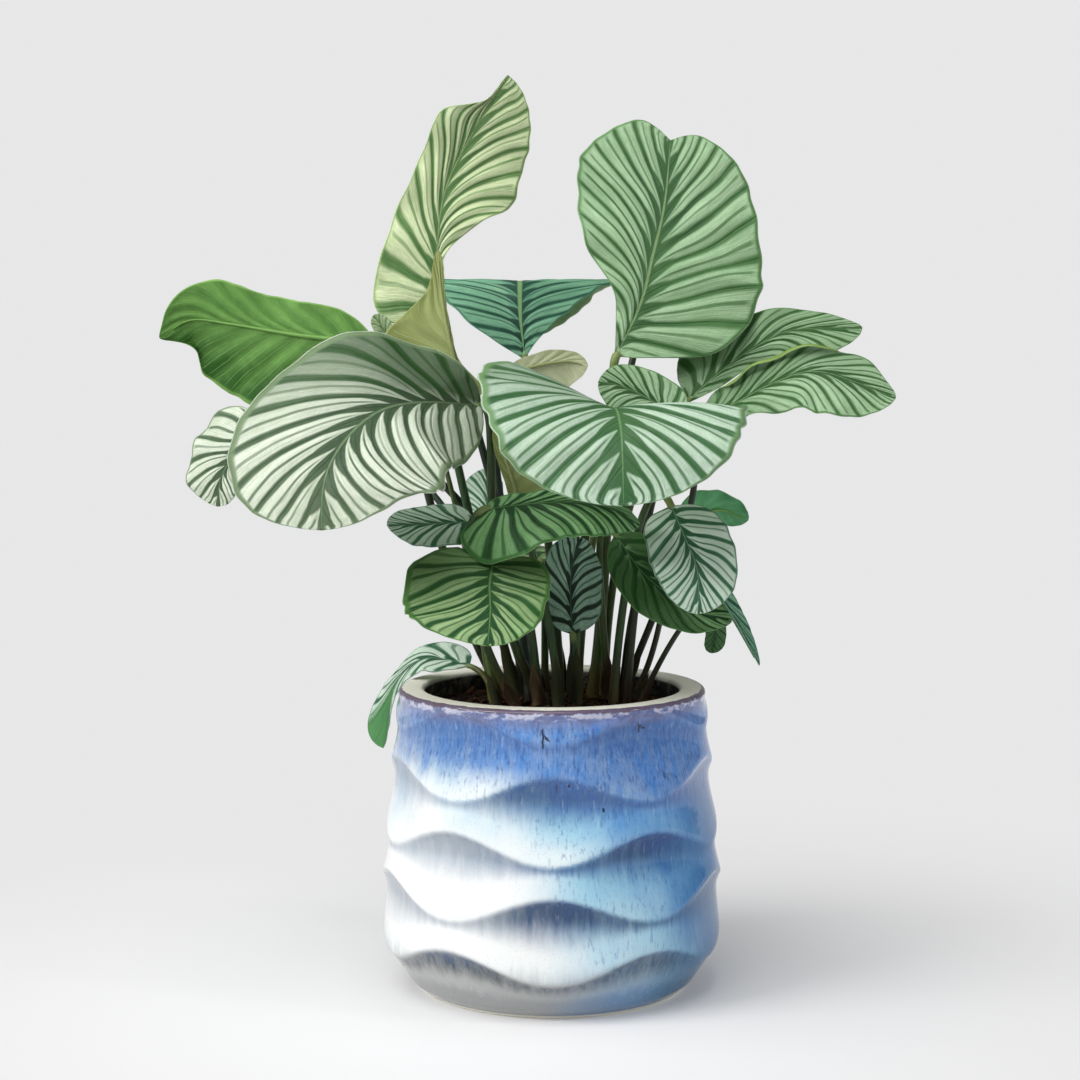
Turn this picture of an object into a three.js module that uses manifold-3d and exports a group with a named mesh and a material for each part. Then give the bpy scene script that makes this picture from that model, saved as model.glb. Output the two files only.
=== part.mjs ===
// A potted calathea: a wave-relief glazed pot, its soil, and leaves that each have a blade and a stalk.
// Millimetres, +Z up. The origin is the centre of the pot's flat underside, and -Y is the plant's front.

import * as THREE from 'three';
import { mergeVertices } from 'three/addons/utils/BufferGeometryUtils.js';
import Module from 'manifold-3d';

// Pot
const POT_HEIGHT = 264;
const POT_BELLY_RADIUS = 151;
const RIM_OUTER_RADIUS = 135;
const RIM_INNER_RADIUS = 112;
const RIM_ROUNDING = 4;
const FOOT_RADIUS = 117;
const FLOOR_THICKNESS = 16;
const BODY_WALL = 18;
const LIP_HEIGHT = 34;
const DRAIN_HOLES = 3;
const DRAIN_RADIUS = 8;
const DRAIN_CIRCLE = 60;
const DRAIN_SIDES = 16;
const POT_SIDES = 60;
const POT_ROWS = 26;
const INNER_ROWS = 7;

// Wave relief: rings of ridges that rise and fall five times round the pot, every second ring out of step
const RELIEF_WAVES = 5;
const RIDGE_SPACING = 50;
const TOP_RIDGE_HEIGHT = 247;
const RIDGE_SWING = 11.5;
const HOLLOW_DEPTH = 8;
const PINCHED_DEPTH = 1.5;
const HOLLOW_SKEW = 0.65;
const COLLAR_DEPTH = 2.5;

// Soil
const SOIL_HEIGHT = 248;
const SOIL_MOUND = 3;
const MOUND_SHARE = 0.75;
const SOIL_ROWS = 7;
const SOIL_CLEARANCE = 0.8;
const FIT_GAP = 0.3;
const STALK_DEPTH = 24;
const STALK_COLLAR = 2;
const HOLE_CLEARANCE = 0.45;

// Leaves
const BLADE_THICKNESS = 1.2;
const BLADE_BASE_HALF_WIDTH = 2.5;
const RIB_STEP = 0.01;
const BLADE_BASE_ROUNDING = 0.22;
const BLADE_TIP_ROUNDING = 0.25;
const VEIN_SWEEP = 1.3;
const VEIN_BEND = 1.15;
const MARGIN_BEND = 1.5;
const WAVE_OFFSET = 0.7;
const LOBE_END = 0.45;
const PLAIN_FOLD = [[5], [5]];
const PLAIN_CURL = [[20], [20]];
const FLAT_MARGIN = [0, 3, 0];
const STALK_SIDES = 6;
const STALK_STEPS = 6;
const STALK_TAPER = 0.75;
const BIG_BLADE = { along: 14, across: 3 };
const SMALL_BLADE = { along: 10, across: 2 };

const COLOURS = {
  glaze: 0x5f82b4,
  soil: 0x33241a,
  striped: 0x8db286,
  warm: 0xa3b87a,
  teal: 0x4f8f7c,
  plain: 0x4f8a3a,
  olive: 0x8c9158,
  dark: 0x2f5b3c,
  stalk: 0x3e5b2c,
};

// One entry a leaf. rib: points of the midrib from stalk to tip. face: which way the upper side looks,
// from base to tip. left, right: half widths along the rib, seen from the upper side with the tip ahead.
// fold: degrees that a half rises from the rib. curl: degrees that its margin then droops.
// wave: margin wave's height, count and start. ahead: how far a half reaches past the tip beside it.
// lobe: how far a half reaches back beside the stalk. root: where the stalk stands in the soil.
// rise: how it leaves the soil. reach: the length over which it turns into the midrib.
const LEAVES = [
  {
    name: 'top_left', colour: 'warm', size: BIG_BLADE,
    rib: [[-100, 5, 586], [-100, 12, 645], [-93, 20, 699], [-68, 20, 749], [-38, 0, 794]],
    face: [[0, -1, 0.1], [0.1, -1, 0.1], [0.2, -1, 0.1]],
    left: [72, 61, 49, 40, 31, 31, 33, 6, 3], right: [6, 8, 58, 52, 42],
    curl: [[10], [15]], wave: [3, 5, 0], lobe: [14, 0],
    root: [-30, 25], rise: [-30, 0, 110], reach: 80, radius: 4.2,
  },
  {
    name: 'turned_middle_left', colour: 'olive', size: BIG_BLADE,
    rib: [[-72, -14, 513], [-86, -20, 559], [-94, -22, 602], [-98, -22, 644]],
    face: [[0.2, 1, 0], [0.2, 1, 0]],
    left: [28, 5, 3, 3, 6], right: [20, 44, 58, 14, 6],
    root: [-20, 10], rise: [-5, 20, 80], reach: 80, radius: 4.2,
  },
  {
    name: 'top_right', colour: 'striped', size: BIG_BLADE,
    rib: [[56, 0, 554], [77, 12, 600], [88, 22, 641], [99, 35, 686], [105, 52, 743]],
    face: [[0, -1, 0.1], [0, -1, 0.1], [0, -1, 0.2]],
    left: [6, 24, 66, 80, 66], right: [30, 90, 99, 75, 56],
    curl: [[15], [15]], wave: [4, 4.5, 40], ahead: [22, 12],
    root: [36, 42], rise: [20, 0, 100], reach: 30, radius: 4.4,
  },
  {
    name: 'left_back', colour: 'plain', size: BIG_BLADE,
    rib: [[-159, 35, 566], [-226, 65, 572], [-291, 85, 582], [-328, 90, 585], [-354, 80, 569]],
    face: [[0, 1, 0.2], [0, 1, 0.2], [0, 1, 0.2]],
    left: [22, 30, 31, 38, 12], right: [54, 66, 70, 54, 10],
    wave: [3, 3, 0],
    root: [-42, 40], rise: [-70, 0, 100], reach: 40, radius: 4,
  },
  {
    name: 'left_front', colour: 'striped', size: BIG_BLADE,
    rib: [[-61, -30, 512], [-107, -75, 516], [-142, -110, 510], [-169, -135, 487],
      [-184, -155, 456], [-186, -165, 416]],
    face: [[0.3, -0.75, 0.46], [0, -0.8, 0.6], [-0.26, -0.8, 0.5], [-0.3, -0.9, 0.3], [-0.3, -0.9, 0.2]],
    left: [40, 66, 86, 96, 74], right: [30, 58, 92, 98, 86],
    fold: [[5], [34, 24, 8, 5]], curl: [[25], [25]], wave: [4, 3, 0],
    root: [-6, -4], rise: [-70, -15, 100], reach: 30, radius: 4.4,
  },
  {
    name: 'left_small', colour: 'striped', size: SMALL_BLADE,
    rib: [[-244, -20, 486], [-266, -25, 475], [-284, -30, 452], [-288, -32, 425]],
    face: [[-0.5, -0.8, 0.3], [-0.5, -0.8, 0.3]],
    left: [30, 33, 33, 25, 20], right: [38, 50, 50, 40, 25],
    wave: [3, 4, 0],
    root: [-20, 45], rise: [0, 0, 170], reach: 90, radius: 3.8,
  },
  {
    name: 'front_middle', colour: 'striped', size: BIG_BLADE,
    rib: [[50, -20, 507], [50, -70, 511], [53, -120, 509], [55, -165, 488], [56, -185, 437]],
    face: [[0, -0.2, 1], [0, -0.4, 1], [0, -0.7, 0.7], [0, -1, 0.3]],
    left: [98, 109, 107, 93, 74], right: [105, 115, 112, 98, 80],
    fold: [[5], [30, 22, 13, 5, 0]], curl: [[15], [5, 10, 20]], wave: [3, 3, 0],
    root: [20, 5], rise: [-5, 10, 110], reach: 45, radius: 4.4,
  },
  {
    name: 'middle_small', colour: 'striped', size: SMALL_BLADE,
    rib: [[110, -16, 496], [85, -13, 516], [59, -12, 528], [40, -12, 531]],
    face: [[0.1, -1, 0.2], [0.1, -1, 0.2]],
    left: [12, 20, 26, 20], right: [25, 25, 22, 14],
    root: [62, 30], rise: [40, 0, 100], reach: 50, radius: 3.4,
  },
  {
    name: 'back_middle', colour: 'teal', size: BIG_BLADE,
    rib: [[-24, 70, 551], [-28, 85, 587], [-29, 125, 620], [-29, 180, 612], [-30, 225, 567]],
    face: [[0, -1, 0.2], [0, -0.8, 0.7], [0, 0.3, 1]],
    left: [14, 60, 92, 68, 40], right: [5, 50, 92, 68, 40],
    fold: [[0], [0]], curl: [[0], [0]],
    root: [8, 66], rise: [-5, 0, 120], reach: 110, radius: 4.2,
  },
  {
    name: 'turned_middle', colour: 'olive', size: SMALL_BLADE,
    rib: [[-37, 40, 539], [-6, 45, 546], [16, 50, 548], [32, 50, 544]],
    face: [[0, 1, 0.1], [0, 1, 0.1]],
    left: [15, 18, 22, 24, 20], right: [10, 10, 12, 10, 8],
    root: [-9, 60], rise: [-30, 0, 120], reach: 35, radius: 3.4,
  },
  {
    name: 'right_upper', colour: 'striped', size: SMALL_BLADE,
    rib: [[119, 10, 515], [152, 15, 543], [178, 18, 561], [210, 15, 576], [270, 5, 578]],
    face: [[-0.2, -0.9, 0.3], [-0.1, -0.9, 0.3], [0, -0.9, 0.3]],
    left: [38, 40, 28, 16, 9], right: [8, 12, 18, 25, 20],
    wave: [2, 4, 0],
    root: [48, 56], rise: [0, -10, 90], reach: 70, radius: 4,
  },
  {
    name: 'right_lower', colour: 'striped', size: SMALL_BLADE,
    rib: [[130, 5, 499], [158, -15, 513], [189, -35, 531], [227, -50, 541], [289, -65, 519]],
    face: [[-0.1, -0.8, 0.6], [0, -0.8, 0.6], [0.1, -0.8, 0.6]],
    left: [25, 30, 33, 30, 16], right: [15, 20, 34, 40, 32],
    wave: [3, 4, 0],
    root: [65, 5], rise: [10, 0, 110], reach: 60, radius: 4,
  },
  {
    name: 'low_middle', colour: 'striped', size: BIG_BLADE,
    rib: [[-54, -70, 426], [-19, -92, 432], [19, -105, 434], [49, -112, 429], [72, -110, 415]],
    face: [[-0.1, -0.8, 0.6], [0, -0.8, 0.6], [0.2, -0.9, 0.4]],
    left: [10, 12, 12, 10, 8], right: [40, 54, 36, 30, 18],
    wave: [2, 3, 0], lobe: [8, 28],
    root: [-32, -18], rise: [-45, -25, 80], reach: 40, radius: 3.8,
  },
  {
    name: 'low_left', colour: 'striped', size: SMALL_BLADE,
    rib: [[-49, -90, 384], [-52, -115, 367], [-51, -135, 347], [-53, -150, 320]],
    face: [[0, -0.8, 0.7], [0, -0.9, 0.5], [0, -1, 0.2]],
    left: [44, 50, 49, 40, 28], right: [58, 70, 72, 66, 48],
    wave: [3, 4, 0], lobe: [12, 16],
    root: [-12, -20], rise: [-5, 0, 110], reach: 60, radius: 3.8,
  },
  {
    name: 'left_pointing', colour: 'striped', size: SMALL_BLADE,
    rib: [[-67, -22, 411], [-106, -35, 410], [-141, -48, 410]],
    face: [[0, -0.7, 0.7], [0, -0.7, 0.7]],
    left: [22, 24, 24, 16], right: [22, 24, 20, 14],
    root: [-48, -12], rise: [-20, 0, 90], reach: 8, radius: 3.4,
  },
  {
    name: 'pale_left', colour: 'teal', size: SMALL_BLADE,
    rib: [[-61, 80, 386], [-59, 110, 415], [-57, 130, 448]],
    face: [[0, -1, 0.3], [0, -1, 0.3]],
    left: [18, 22, 24, 20], right: [12, 14, 14, 12],
    wave: [2, 3, 0],
    root: [-32, 60], rise: [-15, 0, 60], reach: 30, radius: 3.4,
  },
  {
    name: 'low_right', colour: 'striped', size: SMALL_BLADE,
    rib: [[101, -60, 427], [110, -85, 405], [120, -105, 378], [121, -115, 342]],
    face: [[0, -0.9, 0.4], [0, -1, 0.3]],
    left: [26, 36, 37, 32, 24], right: [32, 32, 36, 32, 24],
    wave: [2, 4, 0],
    root: [54, -2], rise: [8, 20, 110], reach: 70, radius: 3.8,
  },
  {
    name: 'turned_right', colour: 'plain', size: SMALL_BLADE,
    rib: [[115, 50, 402], [134, 62, 411], [155, 75, 414], [179, 85, 403]],
    face: [[0, 1, 0.4], [0.2, 1, 0.4]],
    left: [18, 22, 20, 12], right: [22, 24, 16, 10],
    wave: [2, 4, 0],
    root: [64, 50], rise: [5, 0, 60], reach: 50, radius: 3.4,
  },
  {
    name: 'low_dark', colour: 'dark', size: SMALL_BLADE,
    rib: [[56, -10, 398], [80, -40, 366], [117, -65, 341], [151, -80, 331]],
    face: [[0, -0.9, 0.3], [0, -0.9, 0.4]],
    left: [25, 32, 35, 25, 12], right: [16, 24, 28, 22, 12],
    root: [50, 20], rise: [-5, 5, 90], reach: 50, radius: 3.6,
  },
  {
    name: 'right_hanging', colour: 'teal', size: SMALL_BLADE,
    rib: [[122, 10, 374], [141, 22, 353], [162, 28, 321], [186, 36, 277]],
    face: [[0.9, -0.3, 0.4], [0.9, -0.3, 0.4]],
    left: [18, 20, 17, 9], right: [18, 20, 17, 9],
    fold: [[15], [15]], curl: [[0], [0]],
    root: [72, 20], rise: [40, 0, 70], reach: 50, radius: 2.8,
  },
  {
    name: 'inner_dark', colour: 'dark', size: SMALL_BLADE,
    rib: [[18, -12, 312], [16, -10, 347], [18, -10, 375], [26, -8, 396]],
    face: [[0, -1, 0], [0, -1, 0]],
    left: [18, 22, 24, 18], right: [24, 28, 28, 20],
    root: [22, -12], rise: [0, 0, 20], reach: 25, radius: 3.4,
  },
  {
    name: 'over_rim', colour: 'striped', size: SMALL_BLADE,
    rib: [[-74, 20, 279], [-95, 33, 283], [-120, 43, 280], [-143, 50, 253], [-153, 53, 199]],
    face: [[0.1, -0.6, 0.8], [0, -0.6, 0.8], [-0.5, -0.6, 0.6], [-0.6, -0.8, 0.2]],
    left: [15, 18, 10, 5, 5], right: [22, 22, 9, 20, 34],
    root: [-52, 5], rise: [-3, 2, 12], reach: 20, radius: 2.8,
  },
  {
    name: 'young', colour: 'striped', size: SMALL_BLADE,
    rib: [[-135, -5, 562], [-144, -8, 574], [-154, -10, 589]],
    face: [[0, -1, 0.4], [0, -1, 0.4]],
    left: [8, 9, 8], right: [8, 9, 8],
    fold: [[25], [25]], curl: [[0], [0]],
    root: [-54, 24], rise: [-15, 0, 110], reach: 60, radius: 2.6,
  },
  {
    name: 'low_tip', colour: 'dark', size: SMALL_BLADE,
    rib: [[138, -30, 333], [141, -25, 315], [139, -20, 296]],
    face: [[0.2, -1, 0.2], [0.2, -1, 0.2]],
    left: [10, 11, 10], right: [8, 8, 8],
    root: [78, -6], rise: [20, -5, 50], reach: 30, radius: 2.6,
  },
  {
    name: 'turned_under', colour: 'olive', size: SMALL_BLADE,
    rib: [[-26, -30, 417], [-34, -38, 448], [-43, -38, 476], [-47, -30, 501]],
    face: [[0, 1, 0.1], [0, 1, 0.1]],
    left: [25, 38, 40, 30], right: [7, 7, 7, 6],
    root: [6, -26], rise: [-3, 0, 60], reach: 60, radius: 4,
  },
  {
    name: 'rear_left', colour: 'striped', size: SMALL_BLADE,
    rib: [[-121, 100, 439], [-155, 140, 465], [-201, 190, 481], [-247, 215, 470]],
    face: [[0, 0.6, 0.8], [-0.2, 0.9, 0.4]],
    left: [35, 42, 40, 28], right: [38, 45, 45, 30],
    wave: [4, 3, 0],
    root: [-22, 72], rise: [-20, 5, 80], reach: 60, radius: 3.8,
  },
  {
    name: 'rear_middle', colour: 'striped', size: SMALL_BLADE,
    rib: [[49, 95, 449], [55, 145, 474], [59, 200, 486], [60, 240, 469]],
    face: [[0, 0.2, 1], [0, 0.5, 0.8], [0, 1, 0.3]],
    left: [45, 55, 55, 40], right: [45, 55, 55, 40],
    wave: [4, 3, 0],
    root: [24, 58], rise: [3, 0, 90], reach: 50, radius: 3.8,
  },
  {
    name: 'rear_top', colour: 'striped', size: SMALL_BLADE,
    rib: [[80, 75, 572], [99, 110, 613], [114, 130, 659], [118, 125, 700]],
    face: [[0, 1, 0.2], [0, 1, 0.1], [0, 1, 0.2]],
    left: [35, 52, 55, 42], right: [20, 40, 52, 42],
    wave: [4, 3, 0],
    root: [38, 72], rise: [10, 10, 110], reach: 60, radius: 4,
  },
  {
    name: 'rear_low', colour: 'striped', size: SMALL_BLADE,
    rib: [[-10, 80, 367], [-20, 120, 377], [-27, 160, 369], [-30, 190, 337]],
    face: [[0, 0.3, 1], [0, 0.8, 0.5], [0, 1, 0.2]],
    left: [35, 42, 42, 30], right: [30, 42, 40, 30],
    wave: [3, 3, 0],
    root: [-6, 78], rise: [0, 0, 60], reach: 20, radius: 3.6,
  },
];

const wasm = await Module();
wasm.setup();

const clamp = THREE.MathUtils.clamp;
const radians = THREE.MathUtils.degToRad;

function geometryFrom(vertices, faces) {
  const geometry = new THREE.BufferGeometry();
  geometry.setAttribute('position', new THREE.Float32BufferAttribute(vertices.flat(), 3));
  geometry.setIndex(faces.flat());
  geometry.computeVertexNormals();
  return geometry;
}

function solidFrom(geometry) {
  const bare = geometry.clone();
  bare.deleteAttribute('normal');
  bare.deleteAttribute('uv');
  const merged = mergeVertices(bare, 1e-4);
  const vertProperties = new Float32Array(merged.attributes.position.array);
  const triVerts = new Uint32Array(merged.index.array);
  return new wasm.Manifold(new wasm.Mesh({ numProp: 3, vertProperties, triVerts }));
}

function geometryOf(solid) {
  const mesh = solid.getMesh();
  const geometry = new THREE.BufferGeometry();
  geometry.setAttribute('position', new THREE.Float32BufferAttribute(mesh.vertProperties, 3));
  geometry.setIndex(Array.from(mesh.triVerts));
  geometry.computeVertexNormals();
  return geometry;
}

// The value at share x of a list of evenly spaced values, on a smooth curve through them
function smoothAlong(values, x) {
  const last = values.length - 1;
  if (last === 0) return values[0];
  const i = Math.min(Math.floor(clamp(x, 0, 1) * last), last - 1);
  const f = clamp(x, 0, 1) * last - i;
  const a = i > 0 ? values[i - 1] : 2 * values[0] - values[1];
  const b = values[i];
  const c = values[i + 1];
  const d = i + 2 <= last ? values[i + 2] : 2 * values[last] - values[last - 1];
  const cubic = 2 * b + (c - a) * f + (2 * a - 5 * b + 4 * c - d) * f * f + (3 * b - a - 3 * c + d) * f ** 3;
  return Math.max(cubic / 2, 1);
}

// The value at share x of a list of evenly spaced values, on straight lines between them
function evenAlong(values, x) {
  const last = values.length - 1;
  const i = Math.min(Math.floor(clamp(x, 0, 1) * last), Math.max(last - 1, 0));
  return last === 0 ? values[0] : THREE.MathUtils.lerp(values[i], values[i + 1], clamp(x, 0, 1) * last - i);
}

// 0 at both ends of a blade, rising to 1 as a quarter ellipse over shares a and b
function rounded(x, a, b) {
  const start = 1 - clamp(x / a, 0, 1);
  const end = 1 - clamp((1 - x) / b, 0, 1);
  return Math.sqrt(1 - start * start) * Math.sqrt(1 - end * end);
}

// --- Pot ---

// Height of ridge number k (0 is the top one) at an angle from the pot's front
function ridgeHeight(k, angle) {
  const step = k % 2 === 0 ? -1 : 1;
  const swing = k < RELIEF_WAVES ? RIDGE_SWING : 0;
  return TOP_RIDGE_HEIGHT - k * RIDGE_SPACING + step * swing * Math.cos(RELIEF_WAVES * angle);
}

// How far the wall lies inside its outline at an angle and height
function reliefDepth(angle, z) {
  const top = ridgeHeight(0, angle);
  if (z >= top) return COLLAR_DEPTH * Math.sin(Math.PI * clamp((z - top) / (POT_HEIGHT - top), 0, 1));
  let k = 0;
  while (k < RELIEF_WAVES - 1 && z < ridgeHeight(k + 1, angle)) k += 1;
  const above = ridgeHeight(k, angle);
  const below = ridgeHeight(k + 1, angle);
  const share = clamp((above - z) / (above - below), 0, 1);
  const tallness = (above - below - RIDGE_SPACING + 2 * RIDGE_SWING) / (4 * RIDGE_SWING);
  const depth = THREE.MathUtils.lerp(PINCHED_DEPTH, HOLLOW_DEPTH, clamp(tallness, 0, 1));
  return depth * Math.sin(Math.PI * share ** HOLLOW_SKEW);
}

// Radius of the pot's outline: a belly below the middle, drawn in to the foot and the rim
function outlineRadius(z) {
  const outline = [FOOT_RADIUS + 5, POT_BELLY_RADIUS - 6, POT_BELLY_RADIUS, POT_BELLY_RADIUS - 1,
    POT_BELLY_RADIUS - 4, POT_BELLY_RADIUS - 6, POT_BELLY_RADIUS - 9, RIM_OUTER_RADIUS + 4,
    RIM_OUTER_RADIUS + 1];
  return smoothAlong(outline, z / POT_HEIGHT);
}

// Radius of the inside: an even wall up to the lip, which thickens inwards
function innerRadius(z) {
  const lip = THREE.MathUtils.smoothstep(z, POT_HEIGHT - LIP_HEIGHT, POT_HEIGHT - RIM_ROUNDING);
  return THREE.MathUtils.lerp(outlineRadius(z) - BODY_WALL, RIM_INNER_RADIUS, lip);
}

function potGeometry() {
  const rows = [];
  const outerTop = POT_HEIGHT - RIM_ROUNDING;
  rows.push({ z: 0, radius: () => FOOT_RADIUS });
  for (let i = 1; i < POT_ROWS; i += 1) {
    const z = outerTop * i / (POT_ROWS - 1);
    rows.push({ z, radius: (angle) => outlineRadius(z) - reliefDepth(angle, z) });
  }
  rows.push({ z: POT_HEIGHT, radius: () => RIM_OUTER_RADIUS - RIM_ROUNDING });
  rows.push({ z: POT_HEIGHT, radius: () => RIM_INNER_RADIUS + RIM_ROUNDING });
  for (let i = 0; i <= INNER_ROWS; i += 1) {
    const z = THREE.MathUtils.lerp(outerTop, FLOOR_THICKNESS, i / INNER_ROWS);
    rows.push({ z, radius: () => innerRadius(z) });
  }
  const vertices = [];
  for (const row of rows) {
    for (let j = 0; j < POT_SIDES; j += 1) {
      const angle = 2 * Math.PI * j / POT_SIDES;
      const radius = row.radius(angle);
      vertices.push([radius * Math.sin(angle), -radius * Math.cos(angle), row.z]);
    }
  }
  const bottom = vertices.push([0, 0, 0]) - 1;
  const floor = vertices.push([0, 0, FLOOR_THICKNESS]) - 1;
  const faces = [];
  for (let j = 0; j < POT_SIDES; j += 1) {
    const next = (j + 1) % POT_SIDES;
    faces.push([bottom, next, j]);
    for (let i = 0; i + 1 < rows.length; i += 1) {
      const low = i * POT_SIDES;
      const high = low + POT_SIDES;
      faces.push([low + j, low + next, high + next], [low + j, high + next, high + j]);
    }
    const inner = (rows.length - 1) * POT_SIDES;
    faces.push([inner + j, inner + next, floor]);
  }
  let pot = solidFrom(geometryFrom(vertices, faces));
  for (let i = 0; i < DRAIN_HOLES; i += 1) {
    const hole = new THREE.CylinderGeometry(DRAIN_RADIUS, DRAIN_RADIUS, 4 * FLOOR_THICKNESS, DRAIN_SIDES);
    hole.rotateX(Math.PI / 2);
    const angle = 2 * Math.PI * (i + 0.5) / DRAIN_HOLES;
    hole.translate(DRAIN_CIRCLE * Math.sin(angle), -DRAIN_CIRCLE * Math.cos(angle), 0);
    pot = pot.subtract(solidFrom(hole));
  }
  return geometryOf(pot);
}

// --- Soil ---

function soilGeometry() {
  const bottom = FLOOR_THICKNESS + FIT_GAP;
  const shoulder = SOIL_HEIGHT - SOIL_MOUND;
  const profile = [new THREE.Vector2(0, bottom)];
  for (let i = 0; i <= SOIL_ROWS; i += 1) {
    const z = THREE.MathUtils.lerp(bottom, shoulder, i / SOIL_ROWS);
    profile.push(new THREE.Vector2(innerRadius(z) - SOIL_CLEARANCE, z));
  }
  profile.push(new THREE.Vector2(innerRadius(shoulder) * MOUND_SHARE, SOIL_HEIGHT));
  profile.push(new THREE.Vector2(0, SOIL_HEIGHT));
  const lathe = new THREE.LatheGeometry(profile, POT_SIDES);
  lathe.rotateX(Math.PI / 2);
  let soil = solidFrom(lathe);
  for (const leaf of LEAVES) {
    const radius = leaf.radius + HOLE_CLEARANCE;
    const hole = new THREE.CylinderGeometry(radius, radius, 2 * STALK_DEPTH, STALK_SIDES);
    hole.rotateX(Math.PI / 2);
    hole.translate(leaf.root[0], leaf.root[1], SOIL_HEIGHT - FIT_GAP);
    soil = soil.subtract(solidFrom(hole));
  }
  return geometryOf(soil);
}

// --- Leaves ---

function ribOf(leaf) {
  const points = leaf.rib.map((point) => new THREE.Vector3(...point));
  return new THREE.CatmullRomCurve3(points, false, 'catmullrom', 0.5);
}

// The rib's point and axes at share x: forward along it, up out of the blade, and to the right
function frameAt(leaf, rib, x) {
  const centre = rib.getPointAt(clamp(x, 0, 1));
  const behind = rib.getPointAt(clamp(x - RIB_STEP, 0, 1));
  const forward = rib.getPointAt(clamp(x + RIB_STEP, 0, 1)).sub(behind).normalize();
  const face = [0, 1, 2].map((axis) => evenAlong(leaf.face.map((direction) => direction[axis]), x));
  const up = new THREE.Vector3(...face);
  up.addScaledVector(forward, -up.dot(forward)).normalize();
  const right = new THREE.Vector3().crossVectors(forward, up);
  return { centre, forward, up, right };
}

// The blade's middle surface and its normal: share q picks the vein, v goes from rib to margin
function bladePoint(leaf, rib, side, q, v) {
  const half = side > 0 ? 1 : 0;
  const x = 1 - (1 - q) ** (1 + VEIN_SWEEP * v ** VEIN_BEND);
  const { centre, forward, up, right } = frameAt(leaf, rib, x);
  const widths = side > 0 ? leaf.right : leaf.left;
  const fullWidth = smoothAlong(widths, x) * rounded(x, BLADE_BASE_ROUNDING, BLADE_TIP_ROUNDING);
  const halfWidth = Math.max(fullWidth, BLADE_BASE_HALF_WIDTH);
  const widest = Math.max(...leaf.left, ...leaf.right);
  const fold = radians(evenAlong((leaf.fold ?? PLAIN_FOLD)[half], x));
  const curl = Math.max(radians(evenAlong((leaf.curl ?? PLAIN_CURL)[half], x)), 1e-4) / widest;
  const out = halfWidth * v;
  const slope = fold - curl * out;
  const across = (Math.sin(fold) - Math.sin(slope)) / curl;
  const [waveHeight, waveCount, waveStart] = leaf.wave ?? FLAT_MARGIN;
  const fade = Math.sqrt(Math.max(Math.sin(Math.PI * x), 0));
  const phase = 2 * Math.PI * waveCount * x + radians(waveStart) + side * WAVE_OFFSET;
  const height = (Math.cos(slope) - Math.cos(fold)) / curl + waveHeight * v * v * Math.sin(phase) * fade;
  const nearTip = THREE.MathUtils.smoothstep(x, 0.5, 0.85) * rounded(x, 0.2, 0.08);
  const nearBase = THREE.MathUtils.smoothstep(LOBE_END - x, 0, 0.4) * rounded(x, 0.06, 0.2);
  const ahead = (leaf.ahead ?? [0, 0])[half] * nearTip;
  const back = (leaf.lobe ?? [0, 0])[half] * nearBase;
  const point = centre.addScaledVector(right, side * across)
    .addScaledVector(up, height)
    .addScaledVector(forward, (ahead - back) * v ** MARGIN_BEND);
  const normal = up.clone().multiplyScalar(Math.cos(slope)).addScaledVector(right, -side * Math.sin(slope));
  return { point, normal };
}

function bladeGeometry(leaf) {
  const rib = ribOf(leaf);
  const { along, across } = leaf.size;
  const columns = 2 * across + 1;
  const top = [];
  const under = [];
  for (let i = 0; i <= along; i += 1) {
    for (let j = -across; j <= across; j += 1) {
      const { point, normal } = bladePoint(leaf, rib, j < 0 ? -1 : 1, i / along, Math.abs(j) / across);
      top.push(point.clone().addScaledVector(normal, BLADE_THICKNESS / 2).toArray());
      under.push(point.clone().addScaledVector(normal, -BLADE_THICKNESS / 2).toArray());
    }
  }
  const faces = [];
  const shift = top.length;
  for (let i = 0; i < along; i += 1) {
    for (let j = 0; j + 1 < columns; j += 1) {
      const a = i * columns + j;
      const b = a + 1;
      const c = a + columns;
      const d = c + 1;
      faces.push([a, b, d], [a, d, c]);
      faces.push([shift + a, shift + d, shift + b], [shift + a, shift + c, shift + d]);
    }
  }
  const border = [];
  for (let j = 0; j < columns - 1; j += 1) border.push(j);
  for (let i = 0; i < along; i += 1) border.push(i * columns + columns - 1);
  for (let j = columns - 1; j > 0; j -= 1) border.push(along * columns + j);
  for (let i = along; i > 0; i -= 1) border.push(i * columns);
  border.forEach((a, index) => {
    const b = border[(index + 1) % border.length];
    faces.push([a, shift + a, shift + b], [a, shift + b, b]);
  });
  return geometryFrom([...top, ...under], faces);
}

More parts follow.
